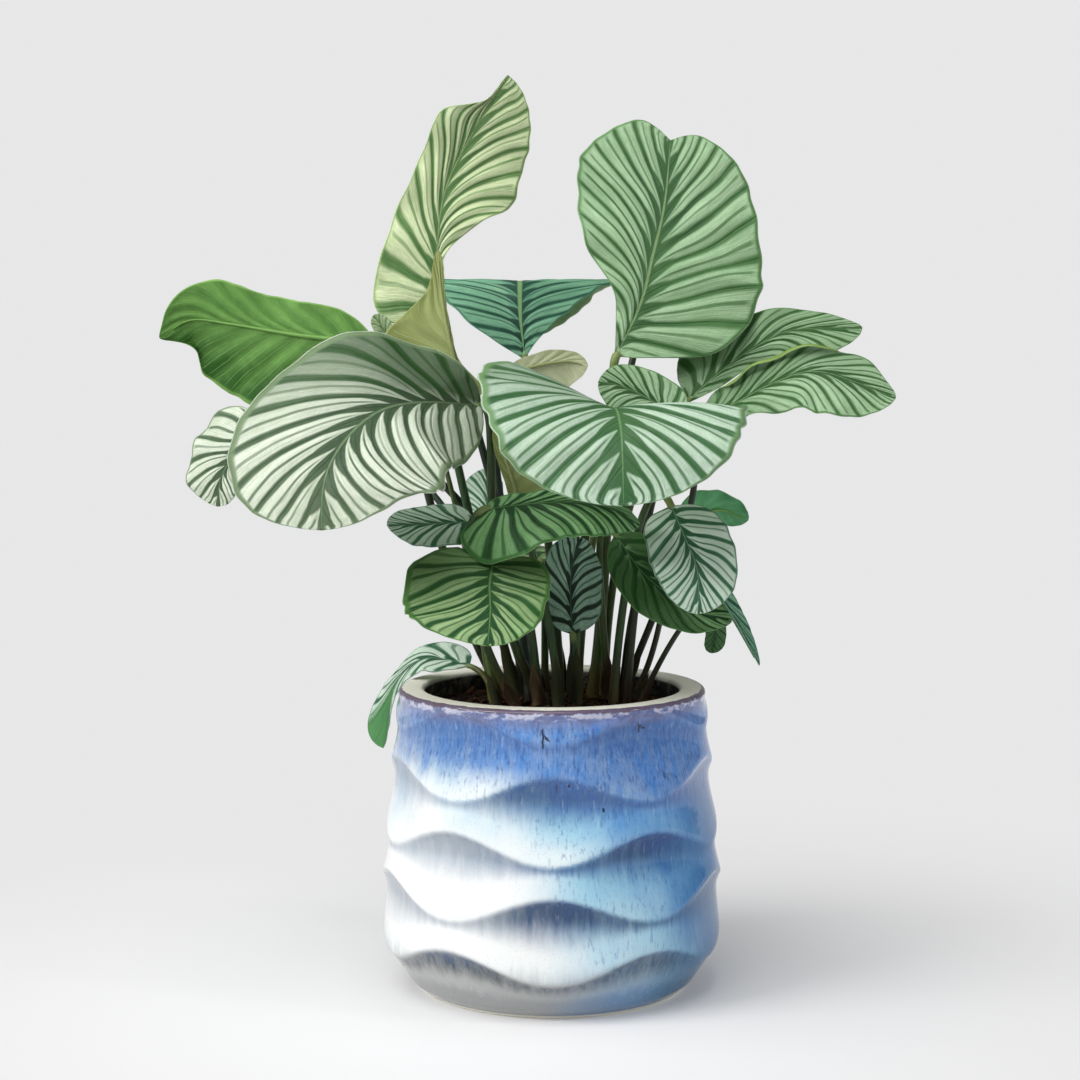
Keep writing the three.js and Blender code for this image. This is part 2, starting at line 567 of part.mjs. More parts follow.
function stalkGeometry(leaf) {
  const rib = ribOf(leaf);
  const { centre, forward } = frameAt(leaf, rib, 0);
  const ground = new THREE.Vector3(leaf.root[0], leaf.root[1], SOIL_HEIGHT + STALK_COLLAR);
  const end = centre.clone().addScaledVector(forward, -FIT_GAP);
  const leaving = ground.clone().add(new THREE.Vector3(...leaf.rise));
  const arriving = end.clone().addScaledVector(forward, -leaf.reach);
  const path = new THREE.CubicBezierCurve3(ground, leaving, arriving, end);
  const upright = new THREE.Vector3(0, 0, 1);
  const foot = ground.clone().setZ(SOIL_HEIGHT - STALK_DEPTH);
  const frames = [{ centre: foot, share: 0, forward: upright }];
  for (let i = 0; i <= STALK_STEPS; i += 1) {
    const share = i / STALK_STEPS;
    const direction = i === 0 ? upright : path.getTangentAt(share);
    frames.push({ centre: path.getPointAt(share), share, forward: direction });
  }
  frames[frames.length - 1].forward = forward;
  const vertices = [];
  let sideways = new THREE.Vector3(1, 0, 0);
  for (const frame of frames) {
    sideways = sideways.clone().addScaledVector(frame.forward, -sideways.dot(frame.forward)).normalize();
    const other = new THREE.Vector3().crossVectors(frame.forward, sideways);
    const radius = leaf.radius * THREE.MathUtils.lerp(1, STALK_TAPER, frame.share);
    for (let j = 0; j < STALK_SIDES; j += 1) {
      const angle = 2 * Math.PI * (j + 0.5) / STALK_SIDES;
      const point = frame.centre.clone()
        .addScaledVector(sideways, radius * Math.cos(angle))
        .addScaledVector(other, radius * Math.sin(angle));
      vertices.push(point.toArray());
    }
  }
  const faces = [];
  const last = (frames.length - 1) * STALK_SIDES;
  for (let j = 0; j < STALK_SIDES; j += 1) {
    const next = (j + 1) % STALK_SIDES;
    for (let i = 0; i < last; i += STALK_SIDES) {
      const over = i + STALK_SIDES;
      faces.push([i + j, i + next, over + next], [i + j, over + next, over + j]);
    }
    if (j > 0 && j < STALK_SIDES - 1) faces.push([0, next, j], [last, last + j, last + next]);
  }
  return geometryFrom(vertices, faces);
}

// --- The plant ---

const plant = new THREE.Group();

function addPiece(name, geometry, colour, roughness) {
  const material = new THREE.MeshStandardMaterial({ color: COLOURS[colour], roughness, metalness: 0 });
  const mesh = new THREE.Mesh(geometry, material);
  mesh.name = name;
  plant.add(mesh);
}

addPiece('pot', potGeometry(), 'glaze', 0.25);
addPiece('soil', soilGeometry(), 'soil', 0.95);
for (const leaf of LEAVES) {
  addPiece(`leaf_${leaf.name}_blade`, bladeGeometry(leaf), leaf.colour, 0.5);
  addPiece(`leaf_${leaf.name}_stalk`, stalkGeometry(leaf), 'stalk', 0.5);
}

export default plant;
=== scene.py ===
import math
import random

import bpy
import numpy as np
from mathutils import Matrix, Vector, noise


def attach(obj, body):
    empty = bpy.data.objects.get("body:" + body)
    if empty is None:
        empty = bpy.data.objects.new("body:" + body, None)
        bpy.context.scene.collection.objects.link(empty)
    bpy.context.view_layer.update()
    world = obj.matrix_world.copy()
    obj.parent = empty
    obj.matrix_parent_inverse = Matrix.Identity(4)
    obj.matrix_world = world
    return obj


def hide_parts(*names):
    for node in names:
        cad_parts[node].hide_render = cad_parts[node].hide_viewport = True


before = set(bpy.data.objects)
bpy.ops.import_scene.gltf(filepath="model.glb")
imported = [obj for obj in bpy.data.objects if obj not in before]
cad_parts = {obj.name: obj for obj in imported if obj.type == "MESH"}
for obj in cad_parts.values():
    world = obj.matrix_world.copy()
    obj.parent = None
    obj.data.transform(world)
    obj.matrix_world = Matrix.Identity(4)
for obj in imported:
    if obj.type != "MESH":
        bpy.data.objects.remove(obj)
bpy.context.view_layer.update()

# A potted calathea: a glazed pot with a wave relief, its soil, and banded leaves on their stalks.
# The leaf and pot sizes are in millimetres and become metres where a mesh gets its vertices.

MM = 0.001

# Pot
POT_HEIGHT = 264
RIM_OUTER_RADIUS = 135
RIM_INNER_RADIUS = 112
RIM_ROUNDING = 4
FOOT_RADIUS = 117
FOOT_ROUNDING = 5
FLOOR_THICKNESS = 16
BODY_WALL = 18
LIP_HEIGHT = 34
DRAIN_HOLES = 3
DRAIN_RADIUS = 8
DRAIN_CIRCLE = 60
# The wall's radius without its relief, evenly spaced from foot to rim
OUTLINE = [122, 145, 151, 150, 147, 145, 142, 139, 136]
# Groove inside the foot's edge: how far each point is from the foot's radius, and its height
FOOT_GROOVE = [(-12, 0), (-9, 1.5), (-4, 1.5), (-1, 0), (0.5, 0.6)]
FOOT_BLEND = 9
RIM_TOP_RADII = [124, 120]
FOOT_INSET = 0.8
POT_STEPS = 320
WALL_ROWS = 150
INNER_ROWS = 20
QUARTER_STEPS = 6

# Wave relief: rings of ridges that rise and fall five times round the pot
RELIEF_WAVES = 5
RIDGE_SPACING = 50
TOP_RIDGE_HEIGHT = 247
RIDGE_SWING = 11.5
HOLLOW_DEPTH = 9
PINCHED_DEPTH = 1.5
HOLLOW_SKEW = 0.58
COLLAR_DEPTH = 2.5
RIDGE_ROUNDING = 3
# Glaze pools and painted shade under the ridges: how far down they reach, where they fade as shares of that,
# where they start, and how strong they are where two ridges nearly meet
POOL_AND_SHADE_LEAST = 9
POOL_AND_SHADE_MOST = 46
POOL_AND_SHADE_FADE = (0.28, 1.1)
POOL_AND_SHADE_START = (-2.5, 3.5)
PINCHED_POOL_AND_SHADE = 0.75
# Where the relief's crests run thin and take painted light, as shares of the way from a ridge to the one
# below
LIT_THIN_CREST_SHARES = (0.55, 0.92)
# Softening of the relief: shifts in height as shares of the rounding, and their weights
ROUNDING_WEIGHTS = ((-1, 0.1), (-0.5, 0.2), (0, 0.4), (0.5, 0.2), (1, 0.1))
# Cracks in the glaze: place across, height and half length, in metres
GLAZE_CRACKS = ((-0.008, 0.241, 0.0095), (0.072, 0.246, 0.005))

# Soil
SOIL_HEIGHT = 248
SOIL_MOUND = 3
SOIL_GAP = 0.4
SOIL_FLOOR = FLOOR_THICKNESS + 0.3
# Lumps of the soil's top: how fine, where their noise starts, and how high
SOIL_LUMPS = [(0.06, 0, 2.2), (0.25, 7, 1.3)]
SOIL_STEPS = 120
SOIL_RINGS = 44
# Bark chips and crumbs: how far out their middles and edges lie, how near the stalks' feet, how high as a
# share of their thickness, their sizes, how many there are, and where their random draws start
STREWN_RADIUS = 108
STREWN_EDGE = 111
STREWN_GAP = 1.5
ROOT_ROOM = 1.2
STREWN_LIFT = 0.25
CHIP_SIZES = ((5, 13), (2, 5), (1.2, 3))
CRUMB_SIZES = (1.5, 4.5)
CHIP_ROUGHNESS = 0.28
CHIPS = 230
CRUMBS = 900
CHIP_DRAWS = 3
CRUMB_DRAWS = 5
SHAPE_DRAWS = 7
STALK_DEPTH = 24
STALK_COLLAR = 2

# Leaves
BLADE_THICKNESS = 0.7
BLADE_BASE_HALF_WIDTH = 2.5
BLADE_TIP_HALF_WIDTH = 0.5
RIB_POINTS = 401
RIB_STEP = 0.01
BLADE_BASE_ROUNDING = 0.22
BLADE_TIP_ROUNDING = 0.25
VEIN_SWEEP = 1.8
VEIN_BEND = 0.8
VEIN_CROWDING = 0.45
HALF_SHIFT = 0.43
MARGIN_BEND = 1.5
WAVE_OFFSET = 0.7
LOBE_END = 0.45
PLAIN_FOLD = [[5], [5]]
PLAIN_CURL = [[20], [20]]
FLAT_MARGIN = [0, 3, 0]
FULL_HALF_WIDTH = 80
PLEAT_HEIGHT = 1.3
RUFFLE_HEIGHT = 1.4
RUFFLES = (5, 8, 13)
MARGIN_SCALLOP = 0.011
ROLL_START = 0.57
RIB_GROOVE = 0.9
RIB_GROOVE_WIDTH = 2.4
STALK_TAPER = 0.75
STALK_POINTS = 36
# The rib under a blade: where it starts and ends along the midrib, and how many points it has
UNDER_RIB = (0.015, 0.93, 40)
ROD_ROUNDNESS = 3
STALK_FLARE = 0.22
JOINT_LENGTH = 30
JOINT_SWELL = 0.16
RIB_LEAST_RADIUS = 0.35
BIG_BLADE = dict(along=120, across=40, bands=9)
SMALL_BLADE = dict(along=84, across=30, bands=7)

# Stage
BACKGROUND = (0.80, 0.80, 0.805, 1)
AMBIENT = 0.34
FLOOR_RADIUS = 9
FLOOR_DROP = 0.0004
FLOOR_FADE_FROM = -0.1
FLOOR_FADE_TO = 0.88
CAMERA_PLACE = (-0.01046, -2.0, 0.575)
CAMERA_TILT = 5.2
LENS = 76.45
SENSOR_WIDTH = 36
# Lamps: where each stands, the height that it is turned to, its size, its height if it isn't round, its power
# and its tint
LAMPS = {
    "overhead": ((-0.7, -1.0, 2.9), 0.4, 2.6, None, 58, (1, 1, 1)),
    "window": ((-2.2, -1.2, 1.8), 0.3, 1.5, 0.3, 46, (1.0, 0.99, 0.97)),
    "far_window": ((2.2, -0.9, 1.7), 0.3, 0.3, None, 9, (1, 1, 1)),
}

# Tones of the upper sides that go with a leaf's slot, and those of the leaves that differ
SLOT_LOOKS = {
    "striped": "fresh", "warm": "warm", "teal": "teal", "dark": "dark", "plain": "fresh", "olive": "sage",
}
LOOKS = {
    "top_right": "sage", "left_front": "silver", "front_middle": "bright", "middle_small": "sage",
    "right_upper": "sage", "right_lower": "sage", "low_right": "cool", "left_pointing": "cool",
    "left_small": "silver", "inner_dark": "deep", "over_rim": "cool", "rear_left": "sage",
    "rear_middle": "fresh", "rear_top": "sage", "low_middle": "leafy", "low_dark": "leafy",
    "pale_left": "cool", "young": "soft",
}
# Width of the pale bands, how soft their edges are, the midrib's width, and the plain green at the margin
PLAIN_STYLE = (0.60, 1.0, 1.0, 0.0)
BAND_STYLES = {
    "front_middle": (0.55, 1.0, 0.8, 0.015), "left_front": (0.60, 1.0, 1.0, 0.035),
    "top_right": (0.60, 1.7, 1.2, 0.0), "right_lower": (0.60, 1.5, 1.0, 0.0),
    "top_left": (0.60, 1.4, 1.0, 0.0), "back_middle": (0.60, 1.3, 2.0, 0.0),
    "over_rim": (0.60, 1.3, 1.0, 0.0), "low_middle": (0.52, 1.2, 1.0, 0.03),
    "low_left": (0.56, 1.2, 1.0, 0.03),
}
# Tones of the undersides that differ from the ones that go with a leaf's slot
UNDER_LOOKS = {"turned_middle": "light_olive", "turned_right": "green", "right_lower": "lime"}
# Painted shade on a half, where it lies in the shade of another leaf: which half (1 is the left one), from
# where to where along the rib, and how much
PAINTED_SHADES = {
    "left_front": [(0, 0.46, 0.14, 0.97)], "top_left": [(1, 0.30, 0.55, 0.38)],
    "low_left": [(1, 0.50, 0.1, 0.45), (0, 0.42, 0.1, 0.35)],
    "low_dark": [(1, 0.75, 0.45, 0.93), (0, 0.75, 0.45, 0.93)], "front_middle": [(0, 0.5, 0.0, 0.35)],
    "right_upper": [(1, 0.6, 0.1, 0.6), (0, 0.5, 0.1, 0.5)],
    "right_lower": [(1, 0.7, 0.2, 0.55), (0, 0.3, 0.05, 0.4)],
}
# Side veins that run further forward or less far than on the others: left half, right half
SWEEPS = {
    "top_right": (2.1, 1.7), "left_front": (1.4, 1.8), "back_middle": (1.1, 1.1), "front_middle": (1.9, 1.9),
    "left_pointing": (2.6, 2.6), "left_back": (1.6, 1.6),
}
# Side veins that leave the midrib more squarely and turn to the tip later
VEIN_BENDS = {"front_middle": 1.0, "low_left": 0.9}
# A margin rolled up: on which half (1 is the right one), from where to where along the rib, and how many
# degrees it turns
ROLLS = {"right_lower": (-1, 0.06, 0.80, 180)}
# Where the notch at the tip starts, as a share of the blade before its end
NOTCHES = {"top_right": 0.035}
# The plain end of a striped blade: where it starts and its green
PLAIN_ENDS = {"over_rim": (0.50, "5fa05a")}
# The stalks' skins: name, skin, lighter fibre, foot, and how much finer its blotches are
SKINS = [
    ("green_skin", "1f3d1b", "3f6430", "5a4a2c", 0), ("dark_skin", "0f2414", "20402a", "241a14", 2),
    ("olive_skin", "3a5424", "5c7638", "6b5a34", 5), ("brown_skin", "1c2a18", "363f26", "4a3626", 8),
]
# Names and tones of the ribs under the blades, by the leaf's slot
RIBS = {
    "striped": ("pale_rib", "8fae78"), "plain": ("green_rib", "6f9d4c"), "olive": ("olive_rib", "9aa26c"),
    "dark": ("dark_rib", "47703f"),
}
# Which of the skins a stalk has, where it isn't the next in turn
STALK_SKINS = {"top_right": 2, "over_rim": 2, "low_left": 0}
SHEATH_GRID = (18, 20)
SHEATH_WRAP = 105
SHEATH_POINT = 0.8
SHEATH_DEPTH = 1.5
SHEATH_ROOM = 1.24
SHEATH_FLARE = 0.7
SHEATH_GAP = 0.15
SHEATH_THICKNESS = 0.4
PAPERY_SHEATH = ("papery_sheath", "2c3a1e", "4c4028")
DRY_SHEATH = ("dry_sheath", "3c2e1e", "6c5438")
# Sheaths at the stalks' feet: height, direction of the closed side in degrees, and whether it is dry
SHEATHS = {
    "low_middle": (30, -70, True), "low_left": (38, -110, True), "turned_under": (46, -80, False),
    "inner_dark": (52, -60, False), "front_middle": (58, -100, False), "left_front": (50, -90, False),
    "low_dark": (44, -70, True), "right_hanging": (26, -45, False), "left_pointing": (28, -120, False),
    "back_middle": (60, 90, False), "rear_left": (44, 80, True), "rear_top": (50, 60, False),
    "top_left": (62, -95, False), "middle_small": (40, -60, False), "turned_middle": (40, 100, False),
}
# How many bands a half has, where it isn't the number that goes with the blade's size
BANDS = {
    "top_right": 11, "left_front": 11, "front_middle": 10, "top_left": 11, "back_middle": 13, "low_left": 8,
    "low_middle": 10, "right_upper": 8, "right_lower": 9, "low_right": 8, "left_pointing": 6, "inner_dark": 6,
    "middle_small": 7, "left_small": 7, "over_rim": 6, "young": 4,
}

# One entry a leaf. size: its grid, if it isn't the small blade's.
# rib: points of the midrib from stalk to tip. face: which way the upper side looks, from base to tip.
# left, right: half widths along the rib, seen from the upper side with the tip ahead.
# fold: degrees that a half rises from the rib. curl: degrees that its margin then droops.
# wave: margin wave's height, count and start. ahead: how far a half reaches past the tip beside it.
# lobe: how far a half reaches back beside the stalk. root: where the stalk stands in the soil.
# rise: how it leaves the soil. reach: the length over which it turns into the midrib.
LEAVES = [
    dict(
        name="top_left", colour="warm", size=BIG_BLADE,
        rib=[[-100, 5, 586], [-100, 12, 645], [-93, 20, 699], [-68, 20, 749], [-38, 0, 794]],
        face=[[0, -1, 0.1], [0.1, -1, 0.1], [0.2, -1, 0.1]],
        left=[72, 61, 49, 40, 31, 31, 33, 6, 3], right=[6, 8, 58, 52, 42],
        curl=[[10], [15]], wave=[3, 5, 0], lobe=[14, 0],
        root=[-30, 25], rise=[-30, 0, 110], reach=80, radius=4.2,
    ),
    dict(
        name="turned_middle_left", colour="olive", size=BIG_BLADE,
        rib=[[-72, -14, 513], [-86, -20, 559], [-94, -22, 602], [-98, -22, 644]],
        face=[[0.2, 1, 0], [0.2, 1, 0]],
        left=[28, 5, 3, 3, 6], right=[20, 44, 58, 14, 6],
        root=[-20, 10], rise=[-5, 20, 80], reach=80, radius=4.2,
    ),
    dict(
        name="top_right", colour="striped", size=BIG_BLADE,
        rib=[[56, 0, 554], [77, 12, 600], [88, 22, 641], [99, 35, 686], [105, 52, 743]],
        face=[[0, -1, 0.1], [0, -1, 0.1], [0, -1, 0.2]],
        left=[6, 24, 66, 80, 66], right=[30, 90, 99, 75, 56],
        curl=[[15], [15]], wave=[4, 4.5, 40], ahead=[22, 12],
        root=[36, 42], rise=[20, 0, 100], reach=30, radius=4.4,
    ),
    dict(
        name="left_back", colour="plain", size=BIG_BLADE,
        rib=[[-159, 35, 566], [-226, 65, 572], [-291, 85, 582], [-328, 90, 585], [-354, 80, 569]],
        face=[[0, 1, 0.2], [0, 1, 0.2], [0, 1, 0.2]],
        left=[22, 30, 31, 38, 12], right=[54, 66, 70, 54, 10],
        wave=[3, 3, 0],
        root=[-42, 40], rise=[-70, 0, 100], reach=40, radius=4,
    ),
    dict(
        name="left_front", colour="striped", size=BIG_BLADE,
        rib=[[-61, -30, 512], [-107, -75, 516], [-142, -110, 510], [-169, -135, 487], [-184, -155, 456],
             [-186, -165, 416]],
        face=[[0.3, -0.75, 0.46], [0, -0.8, 0.6], [-0.26, -0.8, 0.5], [-0.3, -0.9, 0.3], [-0.3, -0.9, 0.2]],
        left=[40, 66, 86, 96, 74], right=[30, 58, 92, 98, 86],
        fold=[[5], [34, 24, 8, 5]], curl=[[25], [25]], wave=[4, 3, 0],
        root=[-6, -4], rise=[-70, -15, 100], reach=30, radius=4.4,
    ),
    dict(
        name="left_small", colour="striped",
        rib=[[-244, -20, 486], [-266, -25, 475], [-284, -30, 452], [-288, -32, 425]],
        face=[[-0.5, -0.8, 0.3], [-0.5, -0.8, 0.3]],
        left=[30, 33, 33, 25, 20], right=[38, 50, 50, 40, 25],
        wave=[3, 4, 0],
        root=[-20, 45], rise=[0, 0, 170], reach=90, radius=3.8,
    ),
    dict(
        name="front_middle", colour="striped", size=BIG_BLADE,
        rib=[[50, -20, 507], [50, -70, 511], [53, -120, 509], [55, -165, 488], [56, -185, 437]],
        face=[[0, -0.2, 1], [0, -0.4, 1], [0, -0.7, 0.7], [0, -1, 0.3]],
        left=[98, 109, 107, 93, 74], right=[105, 115, 112, 98, 80],
        fold=[[5], [30, 22, 13, 5, 0]], curl=[[15], [5, 10, 20]], wave=[3, 3, 0],
        root=[20, 5], rise=[-5, 10, 110], reach=45, radius=4.4,
    ),
    dict(
        name="middle_small", colour="striped",
        rib=[[110, -16, 496], [85, -13, 516], [59, -12, 528], [40, -12, 531]],
        face=[[0.1, -1, 0.2], [0.1, -1, 0.2]],
        left=[12, 20, 26, 20], right=[25, 25, 22, 14],
        root=[62, 30], rise=[40, 0, 100], reach=50, radius=3.4,
    ),
    dict(
        name="back_middle", colour="teal", size=BIG_BLADE,
        rib=[[-24, 70, 551], [-28, 85, 587], [-29, 125, 620], [-29, 180, 612], [-30, 225, 567]],
        face=[[0, -1, 0.2], [0, -0.8, 0.7], [0, 0.3, 1]],
        left=[14, 60, 92, 68, 40], right=[5, 50, 92, 68, 40],
        fold=[[0], [0]], curl=[[0], [0]],
        root=[8, 66], rise=[-5, 0, 120], reach=110, radius=4.2,
    ),
    dict(
        name="turned_middle", colour="olive",
        rib=[[-37, 40, 539], [-6, 45, 546], [16, 50, 548], [32, 50, 544]],
        face=[[0, 1, 0.1], [0, 1, 0.1]],
        left=[15, 18, 22, 24, 20], right=[10, 10, 12, 10, 8],
        root=[-9, 60], rise=[-30, 0, 120], reach=35, radius=3.4,
    ),
    dict(
        name="right_upper", colour="striped",
        rib=[[119, 10, 515], [152, 15, 543], [178, 18, 561], [210, 15, 576], [270, 5, 578]],
        face=[[-0.2, -0.9, 0.3], [-0.1, -0.9, 0.3], [0, -0.9, 0.3]],
        left=[38, 40, 28, 16, 9], right=[8, 12, 18, 25, 20],
        wave=[2, 4, 0],
        root=[48, 56], rise=[0, -10, 90], reach=70, radius=4,
    ),
    dict(
        name="right_lower", colour="striped",
        rib=[[130, 5, 499], [158, -15, 513], [189, -35, 531], [227, -50, 541], [289, -65, 519]],
        face=[[-0.1, -0.8, 0.6], [0, -0.8, 0.6], [0.1, -0.8, 0.6]],
        left=[25, 30, 33, 30, 16], right=[15, 20, 34, 40, 32],
        wave=[3, 4, 0],
        root=[65, 5], rise=[10, 0, 110], reach=60, radius=4,
    ),
    dict(
        name="low_middle", colour="striped", size=BIG_BLADE,
        rib=[[-54, -70, 426], [-19, -92, 432], [19, -105, 434], [49, -112, 429], [72, -110, 415]],
        face=[[-0.1, -0.8, 0.6], [0, -0.8, 0.6], [0.2, -0.9, 0.4]],
        left=[10, 12, 12, 10, 8], right=[40, 54, 36, 30, 18],
        wave=[2, 3, 0], lobe=[8, 28],
        root=[-32, -18], rise=[-45, -25, 80], reach=40, radius=3.8,
    ),
    dict(
        name="low_left", colour="striped",
        rib=[[-49, -90, 384], [-52, -115, 367], [-51, -135, 347], [-53, -150, 320]],
        face=[[0, -0.8, 0.7], [0, -0.9, 0.5], [0, -1, 0.2]],
        left=[44, 50, 49, 40, 28], right=[58, 70, 72, 66, 48],
        wave=[3, 4, 0], lobe=[12, 16],
        root=[-12, -20], rise=[-5, 0, 110], reach=60, radius=3.8,
    ),
    dict(
        name="left_pointing", colour="striped",
        rib=[[-67, -22, 411], [-106, -35, 410], [-141, -48, 410]],
        face=[[0, -0.7, 0.7], [0, -0.7, 0.7]],
        left=[22, 24, 24, 16], right=[22, 24, 20, 14],
        root=[-48, -12], rise=[-20, 0, 90], reach=8, radius=3.4,
    ),
    dict(
        name="pale_left", colour="teal",
        rib=[[-61, 80, 386], [-59, 110, 415], [-57, 130, 448]],
        face=[[0, -1, 0.3], [0, -1, 0.3]],
        left=[18, 22, 24, 20], right=[12, 14, 14, 12],
        wave=[2, 3, 0],
        root=[-32, 60], rise=[-15, 0, 60], reach=30, radius=3.4,
    ),
    dict(
        name="low_right", colour="striped",
        rib=[[101, -60, 427], [110, -85, 405], [120, -105, 378], [121, -115, 342]],
        face=[[0, -0.9, 0.4], [0, -1, 0.3]],
        left=[26, 36, 37, 32, 24], right=[32, 32, 36, 32, 24],
        wave=[2, 4, 0],
        root=[54, -2], rise=[8, 20, 110], reach=70, radius=3.8,
    ),
    dict(
        name="turned_right", colour="plain",
        rib=[[115, 50, 402], [134, 62, 411], [155, 75, 414], [179, 85, 403]],
        face=[[0, 1, 0.4], [0.2, 1, 0.4]],
        left=[18, 22, 20, 12], right=[22, 24, 16, 10],
        wave=[2, 4, 0],
        root=[64, 50], rise=[5, 0, 60], reach=50, radius=3.4,
    ),
    dict(
        name="low_dark", colour="dark",
        rib=[[56, -10, 398], [80, -40, 366], [117, -65, 341], [151, -80, 331]],
        face=[[0, -0.9, 0.3], [0, -0.9, 0.4]],
        left=[25, 32, 35, 25, 12], right=[16, 24, 28, 22, 12],
        root=[50, 20], rise=[-5, 5, 90], reach=50, radius=3.6,
    ),
    dict(
        name="right_hanging", colour="teal",
        rib=[[122, 10, 374], [141, 22, 353], [162, 28, 321], [186, 36, 277]],
        face=[[0.9, -0.3, 0.4], [0.9, -0.3, 0.4]],
        left=[18, 20, 17, 9], right=[18, 20, 17, 9],
        fold=[[15], [15]], curl=[[0], [0]],
        root=[72, 20], rise=[40, 0, 70], reach=50, radius=2.8,
    ),
    dict(
        name="inner_dark", colour="dark",
        rib=[[18, -12, 312], [16, -10, 347], [18, -10, 375], [26, -8, 396]],
        face=[[0, -1, 0], [0, -1, 0]],
        left=[18, 22, 24, 18], right=[24, 28, 28, 20],
        root=[22, -12], rise=[0, 0, 20], reach=25, radius=3.4,
    ),
    dict(
        name="over_rim", colour="striped",
        rib=[[-74, 20, 279], [-95, 33, 283], [-120, 43, 280], [-143, 50, 253], [-153, 53, 199]],
        face=[[0.1, -0.6, 0.8], [0, -0.6, 0.8], [-0.5, -0.6, 0.6], [-0.6, -0.8, 0.2]],
        left=[15, 18, 10, 5, 5], right=[22, 22, 9, 20, 34],
        root=[-52, 5], rise=[-3, 2, 12], reach=20, radius=2.8,
    ),
    dict(
        name="young", colour="striped",
        rib=[[-135, -5, 562], [-144, -8, 574], [-154, -10, 589]],
        face=[[0, -1, 0.4], [0, -1, 0.4]],
        left=[8, 9, 8], right=[8, 9, 8],
        fold=[[25], [25]], curl=[[0], [0]],
        root=[-54, 24], rise=[-15, 0, 110], reach=60, radius=2.6,
    ),
    dict(
        name="low_tip", colour="dark",
        rib=[[138, -30, 333], [141, -25, 315], [139, -20, 296]],
        face=[[0.2, -1, 0.2], [0.2, -1, 0.2]],
        left=[10, 11, 10], right=[8, 8, 8],
        root=[78, -6], rise=[20, -5, 50], reach=30, radius=2.6,
    ),
    dict(
        name="turned_under", colour="olive",
        rib=[[-26, -30, 417], [-34, -38, 448], [-43, -38, 476], [-47, -30, 501]],
        face=[[0, 1, 0.1], [0, 1, 0.1]],
        left=[25, 38, 40, 30], right=[7, 7, 7, 6],
        root=[6, -26], rise=[-3, 0, 60], reach=60, radius=4,
    ),
    dict(
        name="rear_left", colour="striped",
        rib=[[-121, 100, 439], [-155, 140, 465], [-201, 190, 481], [-247, 215, 470]],
        face=[[0, 0.6, 0.8], [-0.2, 0.9, 0.4]],
        left=[35, 42, 40, 28], right=[38, 45, 45, 30],
        wave=[4, 3, 0],
        root=[-22, 72], rise=[-20, 5, 80], reach=60, radius=3.8,
    ),
    dict(
        name="rear_middle", colour="striped",
        rib=[[49, 95, 449], [55, 145, 474], [59, 200, 486], [60, 240, 469]],
        face=[[0, 0.2, 1], [0, 0.5, 0.8], [0, 1, 0.3]],
        left=[45, 55, 55, 40], right=[45, 55, 55, 40],
        wave=[4, 3, 0],
        root=[24, 58], rise=[3, 0, 90], reach=50, radius=3.8,
    ),
    dict(
        name="rear_top", colour="striped",
        rib=[[80, 75, 572], [99, 110, 613], [114, 130, 659], [118, 125, 700]],
        face=[[0, 1, 0.2], [0, 1, 0.1], [0, 1, 0.2]],
        left=[35, 52, 55, 42], right=[20, 40, 52, 42],
        wave=[4, 3, 0],
        root=[38, 72], rise=[10, 10, 110], reach=60, radius=4,
    ),
    dict(
        name="rear_low", colour="striped",
        rib=[[-10, 80, 367], [-20, 120, 377], [-27, 160, 369], [-30, 190, 337]],
        face=[[0, 0.3, 1], [0, 0.8, 0.5], [0, 1, 0.2]],
        left=[35, 42, 42, 30], right=[30, 42, 40, 30],
        wave=[3, 3, 0],
        root=[-6, 78], rise=[0, 0, 60], reach=20, radius=3.6,
    ),
]


# --- Small tools ---

def shade(text):
    """A colour written as six hex digits, as a linear colour."""
    parts = [int(text[i:i + 2], 16) / 255 for i in (0, 2, 4)]
    return tuple(p / 12.92 if p <= 0.04045 else ((p + 0.055) / 1.055) ** 2.4 for p in parts) + (1,)


def rise(x, low, high):
    """0 below low, 1 above high, and a smooth step between them."""
    t = np.clip((x - low) / (high - low), 0, 1)
    return t * t * (3 - 2 * t)


def smooth_curve(values, x):
    """What evenly spaced values or points give at share x, on a smooth curve through them."""
    known = np.array(values, float)
    last = len(known) - 1
    known = np.concatenate([[2 * known[0] - known[1]], known, [2 * known[-1] - known[-2]]])
    place = np.clip(x, 0, 1) * last
    i = np.minimum(place.astype(int), last - 1)
    f = place - i
    if known.ndim > 1:
        f = f[:, None]
    a, b, c, d = known[i], known[i + 1], known[i + 2], known[i + 3]
    squared, cubed = 2 * a - 5 * b + 4 * c - d, 3 * b - a - 3 * c + d
    return (2 * b + (c - a) * f + squared * f ** 2 + cubed * f ** 3) / 2


def smooth_along(values, x):
    """A width at share x of evenly spaced ones, and at least 1."""
    return np.maximum(smooth_curve(values, x), 1)


def even_along(values, x):
    """The value at share x of evenly spaced values, on straight lines between them."""
    return np.interp(np.clip(x, 0, 1), np.linspace(0, 1, len(values)), values)


def lengths_along(path):
    """How far along a path each of its points is."""
    return np.concatenate([[0], np.cumsum(np.linalg.norm(np.diff(path, axis=0), axis=1))])


def on_path(path, reach):
    """The points at these lengths along a path."""
    lengths = lengths_along(path)
    return np.stack([np.interp(reach, lengths, path[:, axis]) for axis in range(3)], axis=-1)


def rounded(x, a, b):
    """0 at both ends, rising to 1 as a quarter ellipse over shares a and b."""
    start = 1 - np.clip(x / a, 0, 1)
    end = 1 - np.clip((1 - x) / b, 0, 1)
    return np.sqrt(1 - start ** 2) * np.sqrt(1 - end ** 2)


def unit(vectors):
    return vectors / np.linalg.norm(vectors, axis=-1, keepdims=True)


def deselect():
    if bpy.context.mode != "OBJECT":
        bpy.ops.object.mode_set(mode="OBJECT")
    bpy.ops.object.select_all(action="DESELECT")


def active_piece(name):
    """The object that the last operator made, named."""
    piece = bpy.context.object
    piece.name = name
    piece.data.name = name
    return piece


